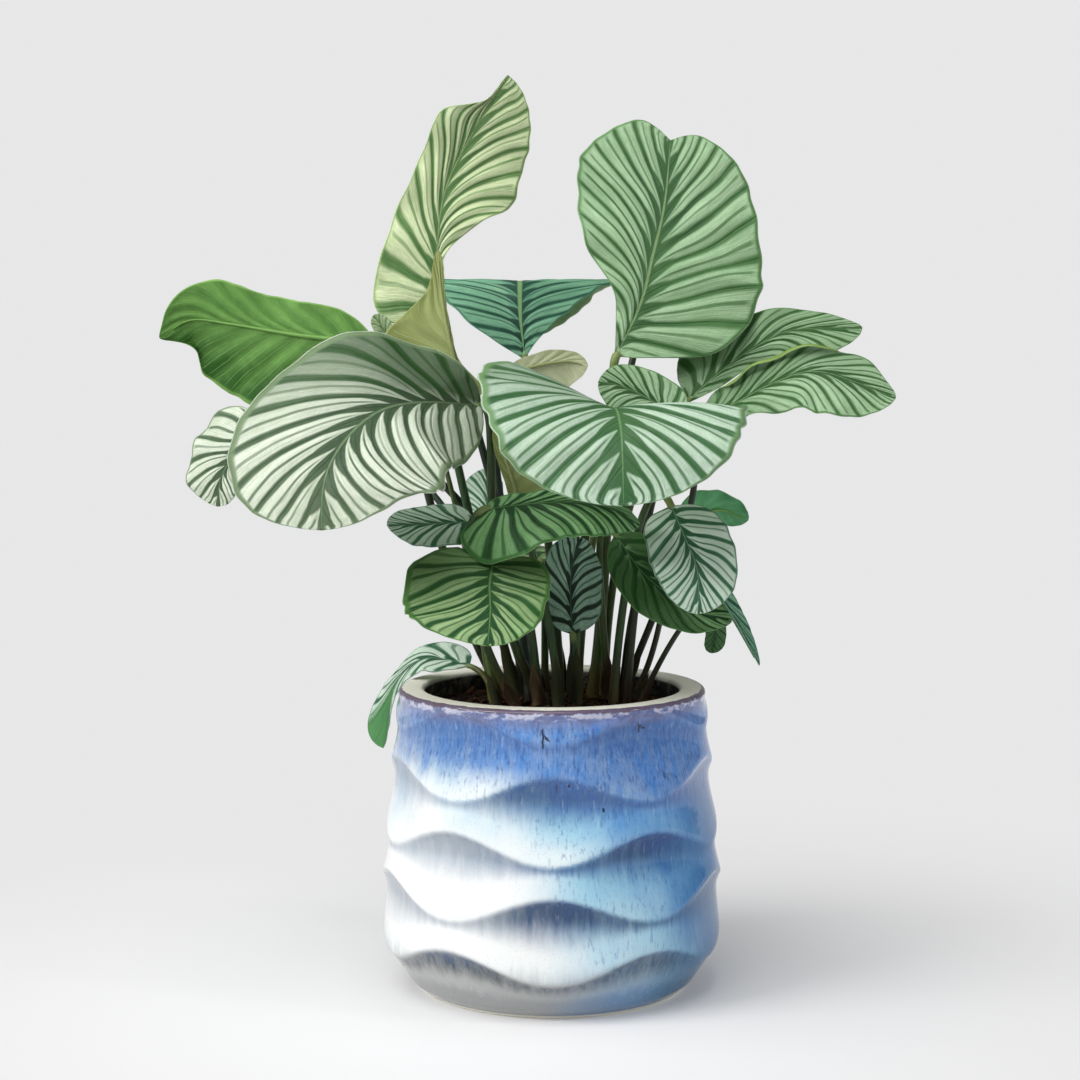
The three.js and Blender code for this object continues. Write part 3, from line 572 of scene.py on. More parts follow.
def vertices_of(piece):
    flat = np.empty(len(piece.data.vertices) * 3)
    piece.data.vertices.foreach_get("co", flat)
    return flat.reshape(-1, 3)


def shape(piece, points):
    """Gives a mesh its vertices, from millimetres."""
    piece.data.vertices.foreach_set("co", (np.asarray(points) * MM).ravel())
    piece.data.update()


def new_grid(name, along, across):
    """A flat grid, and its vertices' places: 0 to 1 along it, and -1 to 1 across it."""
    deselect()
    bpy.ops.mesh.primitive_grid_add(x_subdivisions=along, y_subdivisions=across, size=1)
    piece = active_piece(name)
    flat = vertices_of(piece)
    return piece, np.clip(flat[:, 0] + 0.5, 0, 1), np.clip(flat[:, 1] * 2, -1, 1)


def only(piece):
    """Selects one piece alone and makes it the active one."""
    deselect()
    bpy.context.view_layer.objects.active = piece
    piece.select_set(True)


def new_mesh(name, points, edges, faces):
    """A mesh object from points in millimetres."""
    mesh = bpy.data.meshes.new(name)
    mesh.from_pydata([[c * MM for c in point] for point in points], edges, faces)
    piece = bpy.data.objects.new(name, mesh)
    bpy.context.scene.collection.objects.link(piece)
    return piece


def mark(piece, name, values):
    """Gives each vertex a value that the piece's finish reads."""
    marks = piece.data.attributes.new(name, "FLOAT", "POINT")
    marks.data.foreach_set("value", values.astype(np.float32))


def apply_all(piece):
    only(piece)
    for modifier in list(piece.modifiers):
        bpy.ops.object.modifier_apply(modifier=modifier.name)


def thicken(piece, thickness, offset, inner_finish):
    """Gives a sheet its thickness. Inner_finish says how many finishes further on the other side's is."""
    shell = piece.modifiers.new("thickness", "SOLIDIFY")
    shell.thickness = thickness * MM
    shell.offset = offset
    shell.material_offset = inner_finish
    apply_all(piece)


def smooth(piece):
    only(piece)
    bpy.ops.object.shade_smooth()


def outward(piece):
    """Merges doubles and turns all faces outwards."""
    only(piece)
    bpy.ops.object.mode_set(mode="EDIT")
    bpy.ops.mesh.select_all(action="SELECT")
    bpy.ops.mesh.remove_doubles(threshold=0.00001)
    bpy.ops.mesh.normals_make_consistent(inside=False)
    bpy.ops.object.mode_set(mode="OBJECT")


def finish_piece(piece, slot, *nodes):
    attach(piece, "root")
    if nodes:
        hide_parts(*nodes)


# --- Finishes ---

class Value:
    """What a node gives. Arithmetic with numbers that vary over a surface adds Math nodes to their finish."""

    def __init__(self, finish, socket):
        self.finish = finish
        self.socket = socket

    def __add__(self, other):
        return self.finish.math("ADD", self, other)

    def __sub__(self, other):
        return self.finish.math("SUBTRACT", self, other)

    def __rsub__(self, other):
        return self.finish.math("SUBTRACT", other, self)

    def __mul__(self, other):
        return self.finish.math("MULTIPLY", self, other)

    def __truediv__(self, other):
        return self.finish.math("DIVIDE", self, other)

    def __pow__(self, power):
        return self.finish.math("POWER", self, power)

    def __abs__(self):
        return self.finish.math("ABSOLUTE", self)

    def __gt__(self, limit):
        return self.finish.math("GREATER_THAN", self, limit)

    __radd__ = __add__
    __rmul__ = __mul__

    def clamped(self):
        """The value, held between 0 and 1."""
        return self.finish.node("ShaderNodeClamp", {"Value": self})

    def step(self, low, high):
        """0 at low, 1 at high, and a smooth step between them. High may be less than low."""
        inputs = {0: self, 1: low, 2: high, 3: 0.0, 4: 1.0}
        return self.finish.node("ShaderNodeMapRange", inputs, interpolation_type="SMOOTHSTEP")

    def toward(self, tone, share):
        """The colour, with a share of another one over it."""
        return self.finish.mix(share, self, tone)

    def under(self, layers):
        """The colour under layers of others, each with its share."""
        colour = self
        for tone, share in layers:
            colour = colour.toward(tone, share)
        return colour


class Finish:
    """A node material, put together step by step. A colour may be given as six hex digits."""

    def __init__(self, name):
        self.material = bpy.data.materials.new(name)
        self.material.use_nodes = True
        self.nodes = self.material.node_tree.nodes
        self.links = self.material.node_tree.links
        self.nodes.clear()
        self.output = self.nodes.new("ShaderNodeOutputMaterial")
        self.place = self.object_place()

    def feed(self, socket, value):
        if isinstance(value, Value):
            self.links.new(value.socket, socket)
        else:
            socket.default_value = shade(value) if isinstance(value, str) else value

    def add(self, kind, inputs, settings):
        made = self.nodes.new(kind)
        for name, value in settings.items():
            setattr(made, name, value)
        for name, value in inputs.items():
            self.feed(made.inputs[name], value)
        return made

    def node(self, kind, inputs, output=0, **settings):
        return Value(self, self.add(kind, inputs, settings).outputs[output])

    def math(self, operation, *values):
        return self.node("ShaderNodeMath", dict(enumerate(values)), operation=operation)

    def mix(self, share, first, second):
        return self.node("ShaderNodeMix", {0: share, 6: first, 7: second}, 2, data_type="RGBA")

    def vector(self, x, y, z):
        return self.node("ShaderNodeCombineXYZ", {0: x, 1: y, 2: z})

    def split(self, vector):
        made = self.add("ShaderNodeSeparateXYZ", {"Vector": vector}, {})
        return [Value(self, socket) for socket in made.outputs]

    def object_place(self, upright=1.0):
        """Places on the piece, with their heights scaled: a small scale draws a pattern out upwards."""
        place = self.node("ShaderNodeTexCoord", {}, "Object")
        return self.node("ShaderNodeMapping", {"Vector": place, "Scale": (1, 1, upright)})

    def uv(self):
        return self.split(self.node("ShaderNodeUVMap", {}, uv_map="UVMap"))

    def attribute(self, name):
        return self.node("ShaderNodeAttribute", {}, "Fac", attribute_name=name)

    def noise(self, vector, scale, detail=2.0, roughness=0.5):
        inputs = {"Vector": vector, "Scale": scale, "Detail": detail, "Roughness": roughness}
        return self.node("ShaderNodeTexNoise", inputs)

    def grain(self, vector, scale=1.0, detail=2.0):
        """Noise with more contrast, from 0 to 1."""
        return self.noise(vector, scale, detail).step(0.3, 0.7)

    def cells(self, vector, scale):
        """Cells: the distance from the middle of each, and its three random numbers."""
        made = self.add("ShaderNodeTexVoronoi", {"Vector": vector, "Scale": scale}, {})
        return Value(self, made.outputs["Distance"]), self.split(Value(self, made.outputs["Color"]))

    def bump(self, height, distance, strength):
        return self.node("ShaderNodeBump", {"Height": height, "Distance": distance, "Strength": strength})

    def surface(self, colour, roughness, normal, gloss):
        inputs = {"Base Color": colour, "Roughness": roughness, "Specular IOR Level": gloss}
        if normal is not None:
            inputs["Normal"] = normal
        return self.node("ShaderNodeBsdfPrincipled", inputs)

    def mix_shaders(self, share, first, second):
        return self.node("ShaderNodeMixShader", {0: share, 1: first, 2: second})

    def done(self, surface):
        self.feed(self.output.inputs["Surface"], surface)
        return self.material


# Tones of a blade's upper side: pale bands, dark ground, midrib, margin, and light through the blade. The
# sage, dark and deep sets are painted shade: duller and darker copies of the banded tones for leaves that lie
# in shadow
UPPER_TONES = {
    "bright": dict(pale="e0f2e2", pale_deep="aecdb0", dark="48784d", dark_deep="2b5c31", rib="7aa36c",
                   margin="86ac75", through="a8cc78"),
    "silver": dict(pale="f4faec", pale_deep="c6d4ba", dark="5c7455", dark_deep="3c543a", rib="7f9a70",
                   margin="8da57c", through="a8c486"),
    "sage": dict(pale="c0deb6", pale_deep="94b88c", dark="4c7844", dark_deep="315c2e", rib="8fb078",
                 margin="659854", through="a3cc78"),
    "warm": dict(pale="f4fad4", pale_deep="c8dca4", dark="6f9559", dark_deep="4c7640", rib="a0ba78",
                 margin="94b86a", through="c0d478"),
    "fresh": dict(pale="bcd8a0", pale_deep="90b878", dark="2f6a30", dark_deep="1d4d23", rib="75a25a",
                  margin="5f9444", through="9cc46a"),
    "leafy": dict(pale="a4d294", pale_deep="72aa6a", dark="1f5828", dark_deep="10391a", rib="6f9f5c",
                  margin="559048", through="8cc468"),
    "cool": dict(pale="f6fff6", pale_deep="daf8de", dark="4e8a64", dark_deep="2e6444", rib="8eb494",
                 margin="68987a", through="8cbf7c"),
    "teal": dict(pale="9ed6ae", pale_deep="6aa888", dark="28684e", dark_deep="154636", rib="98c886",
                 margin="43866a", through="6fae7c"),
    "dark": dict(pale="5f8f58", pale_deep="3f6f3e", dark="2a5a2c", dark_deep="183f20", rib="4a773e",
                 margin="4a7a3b", through="4f8038"),
    "soft": dict(pale="d6e8c0", pale_deep="b8d2a0", dark="93b67c", dark_deep="7ca066", rib="a6c48a",
                 margin="9cc082", through="a0c870"),
    "deep": dict(pale="c2e8cc", pale_deep="7ea692", dark="143424", dark_deep="0a1e16", rib="4a7554",
                 margin="3a654a", through="4f8060"),
}
# Tones of a blade's underside: ground, its deeper parts, veins and margin, and light through the blade. The
# deeper parts also carry painted shade, and the dark set is painted shade for leaves that lie in shadow
UNDER_TONES = {
    "striped": dict(ground="93b083", deep="7a9a6c", vein="a9c296", margin="93b083", through="9cc46a"),
    "plain": dict(ground="7fb45b", deep="265a12", vein="93c070", margin="94c468", through="8abb4c"),
    "green": dict(ground="7cca8e", deep="5aa86e", vein="90d2a0", margin="70a87c", through="7cbb6c"),
    "olive": dict(ground="b8c484", deep="939f5c", vein="c6ce98", margin="aab274", through="acb060"),
    "lime": dict(ground="88a852", deep="5f8234", vein="98b866", margin="a8c070", through="b0cc60"),
    "light_olive": dict(ground="f0f4cc", deep="d4dcae", vein="f6f8da", margin="ccd4a4", through="c8cc80"),
    "dark": dict(ground="47753f", deep="33602f", vein="5a8750", margin="4f7f45", through="4f8038"),
}


def vein_coordinates(f, bands, seed):
    """Places on a blade: along the rib, out from it, the half, and the side veins' phase."""
    along, across, _ = f.uv()
    lateral = abs(across * 2 - 1)
    half = across > 0.5
    wander = f.noise(f.vector(along * 2.6, across * 2.2, seed), 1.1, 1.0) * 0.6 - 0.3
    crowded = along * (1 + VEIN_CROWDING - along * VEIN_CROWDING)
    return along, lateral, half, crowded * bands + half * HALF_SHIFT + wander


def lit_through(f, skin, colour, through, normal, share):
    """A blade's skin that lets a share of the light through."""
    glow = f.node("ShaderNodeBsdfTranslucent", {"Color": f.mix(0.5, through, colour), "Normal": normal})
    return f.done(f.mix_shaders(share, skin, glow))


def pale_bands(f, style, seed, along, lateral, half, phase):
    """Where the pale bands are, how far they have opened at the midrib, and the lines that split them."""
    band_width, softness, _, border = style
    share = f.math("FRACT", phase)
    number = f.vector(f.math("FLOOR", phase), half, seed)
    draws = f.node("ShaderNodeTexWhiteNoise", {"Vector": number}, "Color", noise_dimensions="3D")
    draw_width, draw_start, draw_line = f.split(draws)
    opening = ((lateral - (draw_start * 0.04 + 0.004)) / 0.18).clamped() ** 0.85
    closing = lateral.step(0.990 - border, 0.945 - 1.3 * border) * along.step(0.985, 0.950)
    width = (draw_width * 0.12 + lateral.step(0.1, 0.9) * 0.07 + band_width) * opening
    off_centre = abs(share - 0.5) * 2
    band = off_centre.step(width + 0.12 * softness, width - 0.09 * softness)
    band = band * opening.step(0.0, 0.12) * closing
    from_line = abs(share - ((draw_line - 0.5) * 0.16 + 0.5))
    strong = draw_width * 0.4 + 0.55
    line = from_line.step(0.085, 0.030) * lateral.step(0.03, 0.16) * lateral.step(0.98, 0.88) * strong
    return band * (1 - line), opening, line, off_centre


def upper_finish(name, tones, bands, seed, style, painted_shades=(), plain_end=None):
    """Pale bands between the side veins, each a point at the midrib and split by a thin dark line."""
    _, _, rib_share, border = style
    f = Finish(name)
    along, lateral, half, phase = vein_coordinates(f, bands, seed)
    band, opening, line, off_centre = pale_bands(f, style, seed, along, lateral, half, phase)
    # Fine streaks beside the veins, and slow changes of tone over the blade
    streak = f.grain(f.vector(phase * 8, lateral * 1.8, half), detail=3.0)
    fine = f.grain(f.vector(phase * 30, lateral * 6, half))
    cross = f.grain(f.vector(phase * 3, lateral * 60, half))
    mottle = f.grain(f.place, 140.0, 3.0)
    slow = f.noise(f.place, 9.0).step(0.35, 0.65)
    pale_share = (streak * 0.40 + fine * 0.55 + cross * 0.22 + (1 - opening) * 0.4).clamped()
    pale = f.mix(pale_share, tones["pale"], tones["pale_deep"])
    ground_share = (streak * 0.4 + fine * 0.25 + mottle * 0.2 + lateral.step(0.8, 0.1) * 0.45).clamped()
    ground = f.mix(ground_share, tones["dark"], tones["dark_deep"])
    colour = ground.toward(pale, band * 0.97).toward(tones["margin"], slow * 0.16)
    # Painted shade: a half painted darker from where it starts in the shade of another leaf
    for shaded_half, shaded_from, shaded_to, amount in painted_shades:
        chosen = half if shaded_half == 1 else 1 - half
        mask = along.step(shaded_from, shaded_to) * chosen * lateral.step(0.0, 0.25) * amount
        colour = colour.toward(colour.toward("1c4c10", 0.86), mask)
    if plain_end:
        plain_from, plain_green = plain_end
        plain = f.mix(streak * 0.5, plain_green, tones["dark"])
        colour = colour.toward(plain, along.step(plain_from - 0.1, plain_from + 0.06))
    rib_width = 0.025 * rib_share - along * (0.017 * rib_share)
    colour = colour.under([
        (tones["rib"], lateral.step(rib_width, rib_width * 0.4) * 0.8),
        (tones["margin"], lateral.step(0.935 - border, 0.985 - border) * 0.6),
        (tones["pale"], lateral.step(0.985, 0.993) * 0.5),
    ])
    vein_line = abs(off_centre - 1).step(0.10, 0.0)
    normal = f.bump(streak * 0.3 + fine * 0.3 + mottle * 0.2 - line * 0.5 - vein_line * 0.8, 0.0008, 0.8)
    skin = f.surface(colour, mottle * 0.12 + 0.40, normal, 0.35)
    return lit_through(f, skin, colour, tones["through"], normal, 0.15)


def under_finish(name, tones, bands, seed):
    """The matt underside: one green with faint bands and fine side veins, and painted shade that darkens one
    half towards its margin.
    """
    f = Finish(name)
    _, lateral, half, phase = vein_coordinates(f, bands, seed)
    soft = f.math("COSINE", phase * (2 * math.pi)) * 0.5 + 0.5
    off_centre = abs(f.math("FRACT", phase * 3) * 2 - 1)
    vein = off_centre.step(0.16, 0.02) * lateral.step(0.98, 0.8)
    fine = f.grain(f.vector(phase * 22, lateral * 4, half))
    mottle = f.grain(f.place, 120.0, 3.0)
    slow = f.grain(f.place, 8.0)
    # Painted shade: one half darkens towards its margin
    shaded_lower = (1 - half) * lateral.step(0.1, 1.0)
    deep_share = (soft * 0.34 + fine * 0.16 + mottle * 0.12 + slow * 0.2 + shaded_lower * 0.6).clamped()
    colour = f.mix(deep_share, tones["ground"], tones["deep"])
    colour = colour.toward(tones["vein"], vein * 0.45).toward(tones["margin"], lateral.step(0.93, 0.99) * 0.7)
    normal = f.bump(vein * 0.7 + fine * 0.3, 0.0006, 0.7)
    skin = f.surface(colour, mottle * 0.1 + 0.52, normal, 0.3)
    return lit_through(f, skin, colour, tones["through"], normal, 0.18)


def rib_finish(name, ground):
    """The rib that stands out under a blade."""
    f = Finish(name)
    fibre = f.grain(f.place, 260.0, 3.0)
    colour = f.mix(fibre * 0.4, ground, f.mix(0.5, ground, "5f7a40"))
    return f.done(f.surface(colour, 0.5, f.bump(fibre, 0.0003, 0.5), 0.3))


def stalk_finish(name, skin, skin_light, foot, seed):
    """Smooth stalk, brownish where it leaves the soil, lighter at the joint under the blade."""
    f = Finish(name)
    height = f.split(f.place)[2]
    fibre = f.grain(f.object_place(0.12), 420.0, 3.0)
    blotch = f.noise(f.object_place(0.4), 34.0 + seed, 3.0).step(0.35, 0.7)
    colour = f.mix(fibre * 0.55, skin, skin_light)
    colour = colour.under([
        (colour.toward(foot, 0.5), blotch * 0.45),
        (foot, ((fibre - 0.5) * 0.02 + height).step(0.295, 0.250) * 0.8),
        ("7f8f52", f.attribute("along").step(0.86, 0.96) * 0.75),
    ])
    return f.done(f.surface(colour, fibre * 0.15 + 0.36, f.bump(fibre, 0.0003, 0.6), 0.4))


def sheath_finish(name, skin, edge):
    """Thin papery sheath: ribbed along its length, browner towards its free edge."""
    f = Finish(name)
    across, along, _ = f.uv()
    ribs = f.grain(f.vector(across * 30, along * 2, 0))
    old = f.math("MAXIMUM", abs(across * 2 - 1).step(0.55, 1.0), along.step(0.7, 1.0))
    colour = f.mix(ribs * 0.5, skin, edge).toward(edge, old * 0.85)
    return f.done(f.surface(colour, 0.62, f.bump(ribs, 0.0006, 0.7), 0.3))


class Glaze(Finish):
    """Running glaze: periwinkle under the rim, blue pools with painted shade under the ridges, white low
    down, bare clay rim.
    """

    def __init__(self):
        super().__init__("running_glaze")
        self.x, self.y, self.z = self.split(self.place)
        # The glaze's pools under the ridges, with painted shade
        self.pool_and_shade = self.attribute("pool_and_shade")
        # The crests, where the glaze runs thin and painted light whitens their upward faces
        self.lit_thin_crest = self.attribute("lit_thin_crest")
        self.inside = self.attribute("inside")
        self.runs = self.noise(self.object_place(0.10), 120.0, 4.0, 0.6) - 0.5
        self.fine_runs = self.noise(self.object_place(0.16), 420.0, 3.0, 0.6)
        self.cloud = self.noise(self.place, 8.0, 3.0, 0.55) - 0.5
        self.grit = self.noise(self.place, 700.0, 3.0)
        from_hole, hole_draws = self.cells(self.object_place(0.55), 46.0)
        self.pinhole = from_hole.step(0.062, 0.040) * (hole_draws[0] > 0.55)
        # How far to the right a place is: the glaze turns whiter to the left and bluer to the right, partly
        # in its own colour and partly as painted light from the left and painted shade on the right
        self.right = self.cloud * 0.08 + self.y * 0.35 + self.x
        self.height = self.runs * 0.03 + self.z
        sideways = self.math("MINIMUM", self.right * 4.2, self.right * 5.6)
        self.blue = self.cloud + self.runs * 0.25 + sideways + ((self.z - 0.02) / 0.2).clamped()

    def ground(self):
        """White to the left and low down, pale blue in the middle, grey blue at the right, thin on crests
        with painted light. The white at the left is partly painted light and the grey blue at the right
        partly painted shade.
        """
        colour = self.mix(self.blue.step(-0.20, 0.62), "f6f8f8", "a8d8ee")
        # Painted light, partly thin glaze: the crests turn white where their faces look up
        lit_thin = (self.runs + self.lit_thin_crest).clamped() * self.lit_thin_crest * self.right.step(0.09, -0.05)
        lit_thin_blue = self.right.step(-0.07, 0.0) * self.z.step(0.13, 0.09)
        return colour.under([
            ("5c9adb", self.blue.step(0.50, 1.05)),
            ("1266a2", self.right.step(0.035, 0.13) * 0.85),
            (self.mix(lit_thin_blue, "f2fbfc", "cbe4f0"), lit_thin * 0.8),
        ])

    def pools_and_shade(self, colour):
        """Pools and painted shade under the ridges: blue high up, grey low down, paler at the left as painted
        light.
        """
        right, height, pool_and_shade = self.right, self.height, self.pool_and_shade
        above_foot = height.step(0.05, 0.08)
        centred = right.step(-0.10, -0.05) * right.step(0.09, 0.03)
        pooled_and_shaded = self.mix(height.step(0.205, 0.165), "3f62a0", "0c4692").under([
            ("2e629e", height.step(0.155, 0.135)),
            ("1f4a7c", height.step(0.110, 0.092)),
            ("3a3e3c", height.step(0.062, 0.044)),
            ("146a9e", right.step(0.03, 0.12) * 0.75),
            ("78909e", right.step(-0.05, -0.12) * above_foot * 0.6),
            ("34506e", pool_and_shade.step(0.72, 0.96) * right.step(0.06, 0.0) * 0.45),
            ("0f3766", pool_and_shade.step(0.6, 0.95) * centred * 0.5),
        ])
        depth = (pool_and_shade + self.runs * pool_and_shade.step(0.02, 0.3) * 0.7).clamped()
        return colour.toward(pooled_and_shaded, depth * (0.97 - right.step(-0.07, -0.13) * above_foot * 0.35))

    def upper_zone(self, colour):
        """The veil of blue under the rim, and a painted highlight on the crest at its upper left."""
        right, fine_runs = self.right, self.fine_runs
        grime = self.noise(self.object_place(0.6), 260.0, 5.0, 0.7)
        blue_share = right.step(-0.13, 0.03) * 0.55 + self.cloud.step(-0.12, 0.12) * 0.45 + self.runs * 1.6
        veil = self.mix(blue_share.clamped(), "90a4c8", "3682d6").under([
            ("406eb0", self.pool_and_shade * 0.7),
            ("34488c", fine_runs.step(0.50, 0.66) * 0.32),
            ("b4c2e2", fine_runs.step(0.44, 0.30) * 0.12),
            ("3a4a80", grime.step(0.50, 0.68) * 0.40),
            ("a9bce4", grime.step(0.46, 0.30) * 0.24),
        ])
        # Painted highlight: white on the crest at the upper left, standing in for a reflection
        bare = self.lit_thin_crest * right.step(-0.035, -0.065) * right.step(-0.125, -0.10) * self.z.step(0.16, 0.18)
        upper = (right * 0.12 + self.height).step(0.172, 0.208)
        return colour.toward(veil, upper * 0.9).toward("f6fbfc", bare * 0.85)

    def bottom(self, colour):
        """Warm grey at the bottom left, bluer to the right."""
        low_tone = self.mix(self.right.step(-0.07, 0.03), "929494", "5a84ae")
        low_tone = low_tone.toward("2c6488", self.right.step(0.02, 0.10))
        return colour.toward(low_tone, self.height.step(0.056, 0.018) * (1 - self.pool_and_shade * 0.7) * 0.92)

    def marks(self, colour):
        """Fine runs, specks, short drips and dark pinholes."""
        speck = self.noise(self.place, 900.0)
        from_drip, drip_draws = self.cells(self.object_place(0.14), 90.0)
        return colour.under([
            ("2f59a0", self.fine_runs.step(0.53, 0.70) * self.blue.step(0.0, 0.4) * 0.45),
            ("dfe9f0", self.fine_runs.step(0.42, 0.26) * 0.16),
            ("2c4a80", speck.step(0.60, 0.75) * 0.28),
            ("2a3f70", from_drip.step(0.17, 0.05) * (drip_draws[1] > 0.72) * self.z.step(0.10, 0.2) * 0.7),
            ("1c2430", self.pinhole * 0.92),
        ])

    def cracks(self, colour):
        """Two short crooked cracks under the rim, each with a slanted branch."""
        sway = (self.noise(self.place, 200.0, 3.0, 0.6) - 0.5) * 0.0034 + self.x
        for crack_x, crack_z, tall in GLAZE_CRACKS:
            stroke = abs(sway - crack_x).step(0.0011, 0.0005) * abs(self.z - crack_z).step(tall, tall * 0.7)
            slant = (self.x - crack_x) * -0.7 + (sway - crack_x)
            from_branch = abs(slant * 2.4 + self.z - (crack_z + tall * 0.3))
            branch = from_branch.step(0.0012, 0.0005) * abs(self.x - (crack_x + 0.0025)).step(0.0036, 0.0026)
            crack = self.math("MAXIMUM", stroke, branch) * self.y.step(0.0, -0.02) * 0.9
            colour = colour.toward("1c2134", crack)
        return colour

    def lip(self, colour):
        """A pale bead with few brown breaks, partly a painted highlight on the rim's rounding, and a dark
        line where the glaze ends.
        """
        patch = self.noise(self.object_place(2.0), 55.0, 4.0, 0.65)
        ragged = (self.noise(self.place, 160.0, 4.0, 0.6) - 0.5) * 0.006 + self.z
        # The pale bead: glaze, with a painted highlight along the rim's rounding
        bead = ragged.step(0.2550, 0.2575) * ragged.step(0.2618, 0.2604)
        return colour.under([
            (self.mix(patch.step(0.42, 0.60), "8c8fb8", "77647c"), ragged.step(0.2440, 0.2560) * 0.55),
            ("dedcea", bead * patch.step(0.58, 0.46) * 0.7),
            ("67505a", ragged.step(0.2602, 0.2614) * 0.8),
        ])

    def clay(self):
        """Bare clay, darker inside the pot."""
        inside_darker = self.mix(self.noise(self.place, 70.0, 4.0, 0.65).step(0.44, 0.64), "24221f", "7a776f")
        clay = self.mix(self.grit.step(0.35, 0.7), "fffdf2", "f0ebda")
        return clay.toward(inside_darker, self.inside * self.z.step(0.2625, 0.2590))

    def bare(self):
        """Where the clay is bare: on the rim's top, inside and under the foot."""
        radius = (self.x * self.x + self.y * self.y) ** 0.5
        clay_edge = (self.noise(self.place, 120.0, 3.0) - 0.5) * 0.0035 + radius
        rim_top = self.z.step(0.2618, 0.2628) * clay_edge.step(0.1322, 0.1308)
        under = self.z.step(0.0030, 0.0015)
        return self.math("MAXIMUM", self.math("MAXIMUM", rim_top, under), self.inside)


def glaze_finish():
    f = Glaze()
    colour = f.lip(f.cracks(f.marks(f.bottom(f.upper_zone(f.pools_and_shade(f.ground()))))))
    bare = f.bare()
    waves = f.noise(f.place, 45.0) * 0.8 + f.noise(f.place, 240.0) * 0.15
    normal = f.bump(waves - f.pinhole * 0.5 + f.grit * bare * 0.3, 0.0012, 0.35)
    roughness = bare * 0.70 + f.fine_runs * 0.08 + 0.05
    return f.done(f.surface(colour.toward(f.clay(), bare), roughness, normal, 0.48))


def soil_finish(name, dark, light, red):
    """Loose bark mix: dark crumbs with reddish fibre."""
    f = Finish(name)
    from_lump, draws = f.cells(f.place, 170.0)
    fine = f.noise(f.place, 600.0, 4.0, 0.7)
    colour = f.mix(draws[0].step(0.2, 0.9), dark, light).toward(red, draws[1].step(0.62, 0.9) * 0.8)
    colour = colour.toward(colour.toward("0f0b08", 0.55), fine.step(0.65, 0.35))
    return f.done(f.surface(colour, 0.92, f.bump(fine * 0.6 + (1 - from_lump), 0.0015, 0.8), 0.15))


def floor_finish():
    """Pale floor that turns into the pale background further out."""
    f = Finish("pale_floor")
    x, y, _ = f.split(f.place)
    distance = (x * x + y * y) ** 0.5
    tone = f.mix(f.noise(f.place, 1.4, 3.0), "f0f0f1", "f3f3f4")
    lit = f.surface(tone, 0.7, None, 0.1)
    far = f.node("ShaderNodeEmission", {"Color": BACKGROUND, "Strength": 1.0})
    return f.done(f.mix_shaders(distance.step(FLOOR_FADE_FROM, FLOOR_FADE_TO), lit, far))


# --- Pot ---

def ridge_height(k, angle):
    """Height of ridge number k (0 is the top one) at an angle from the pot's front."""
    turn = -1 if k % 2 == 0 else 1
    swing = RIDGE_SWING if k < RELIEF_WAVES else 0
    return TOP_RIDGE_HEIGHT - k * RIDGE_SPACING + turn * swing * np.cos(RELIEF_WAVES * angle)


def relief(angle, z):
    """The relief's depth at an angle and height, how far the glaze pools there with painted shade, and how
    far it runs thin there with painted light, up to 1.
    """
    top = ridge_height(0, angle)
    depth = COLLAR_DEPTH * np.sin(math.pi * np.clip((z - top) / (POT_HEIGHT - top), 0, 1))
    pool_and_shade = np.zeros_like(depth)
    lit_thin_crest = np.zeros_like(depth)
    for k in range(RELIEF_WAVES):
        above = ridge_height(k, angle)
        below = ridge_height(k + 1, angle)
        share = np.clip((above - z) / (above - below), 0, 1)
        tallness = np.clip((above - below - RIDGE_SPACING + 2 * RIDGE_SWING) / (4 * RIDGE_SWING), 0, 1)
        full = PINCHED_DEPTH + (HOLLOW_DEPTH - PINCHED_DEPTH) * tallness
        here = (z < above) & (z >= below)
        depth = np.where(here, full * np.sin(math.pi * share ** HOLLOW_SKEW), depth)
        reach = POOL_AND_SHADE_LEAST + (POOL_AND_SHADE_MOST - POOL_AND_SHADE_LEAST) * tallness
        fading = 1 - rise(above - z, reach * POOL_AND_SHADE_FADE[0], reach * POOL_AND_SHADE_FADE[1])
        strength = PINCHED_POOL_AND_SHADE + (1 - PINCHED_POOL_AND_SHADE) * tallness
        pool_and_shade = np.maximum(pool_and_shade, strength * fading * rise(above - z, *POOL_AND_SHADE_START))
        lit_thin_crest = np.where(here, rise(share, *LIT_THIN_CREST_SHARES) * tallness, lit_thin_crest)
    return depth, pool_and_shade, lit_thin_crest


def relief_depth(angle, z):
    """The relief's depth, with its ridges rounded off."""
    return sum(relief(angle, z + shift * RIDGE_ROUNDING)[0] * weight for shift, weight in ROUNDING_WEIGHTS)


def outline_radius(z):
    return smooth_along(OUTLINE, np.asarray(z, float) / POT_HEIGHT)


def inner_radius(z):
    lip = rise(np.asarray(z, float), POT_HEIGHT - LIP_HEIGHT, POT_HEIGHT - RIM_ROUNDING)
    return (1 - lip) * (outline_radius(z) - BODY_WALL) + lip * RIM_INNER_RADIUS


def quarter(centre, radius, start):
    """Points of a quarter circle, anticlockwise from an angle in degrees."""
    angles = np.radians(np.linspace(start, start + 90, QUARTER_STEPS + 1))
    return [(centre[0] + radius * math.cos(a), centre[1] + radius * math.sin(a)) for a in angles]


def turned(name, profile, steps):
    """A profile of radius and height in millimetres, spun once round the upright axis."""
    points = [(radius, 0, height) for radius, height in profile]
    piece = new_mesh(name, points, [(i, i + 1) for i in range(len(points) - 1)], [])
    only(piece)
    bpy.ops.object.mode_set(mode="EDIT")
    bpy.ops.mesh.select_all(action="SELECT")
    bpy.ops.mesh.spin(steps=steps, angle=2 * math.pi, center=(0, 0, 0), axis=(0, 0, 1))
    bpy.ops.object.mode_set(mode="OBJECT")
    outward(piece)
    return piece


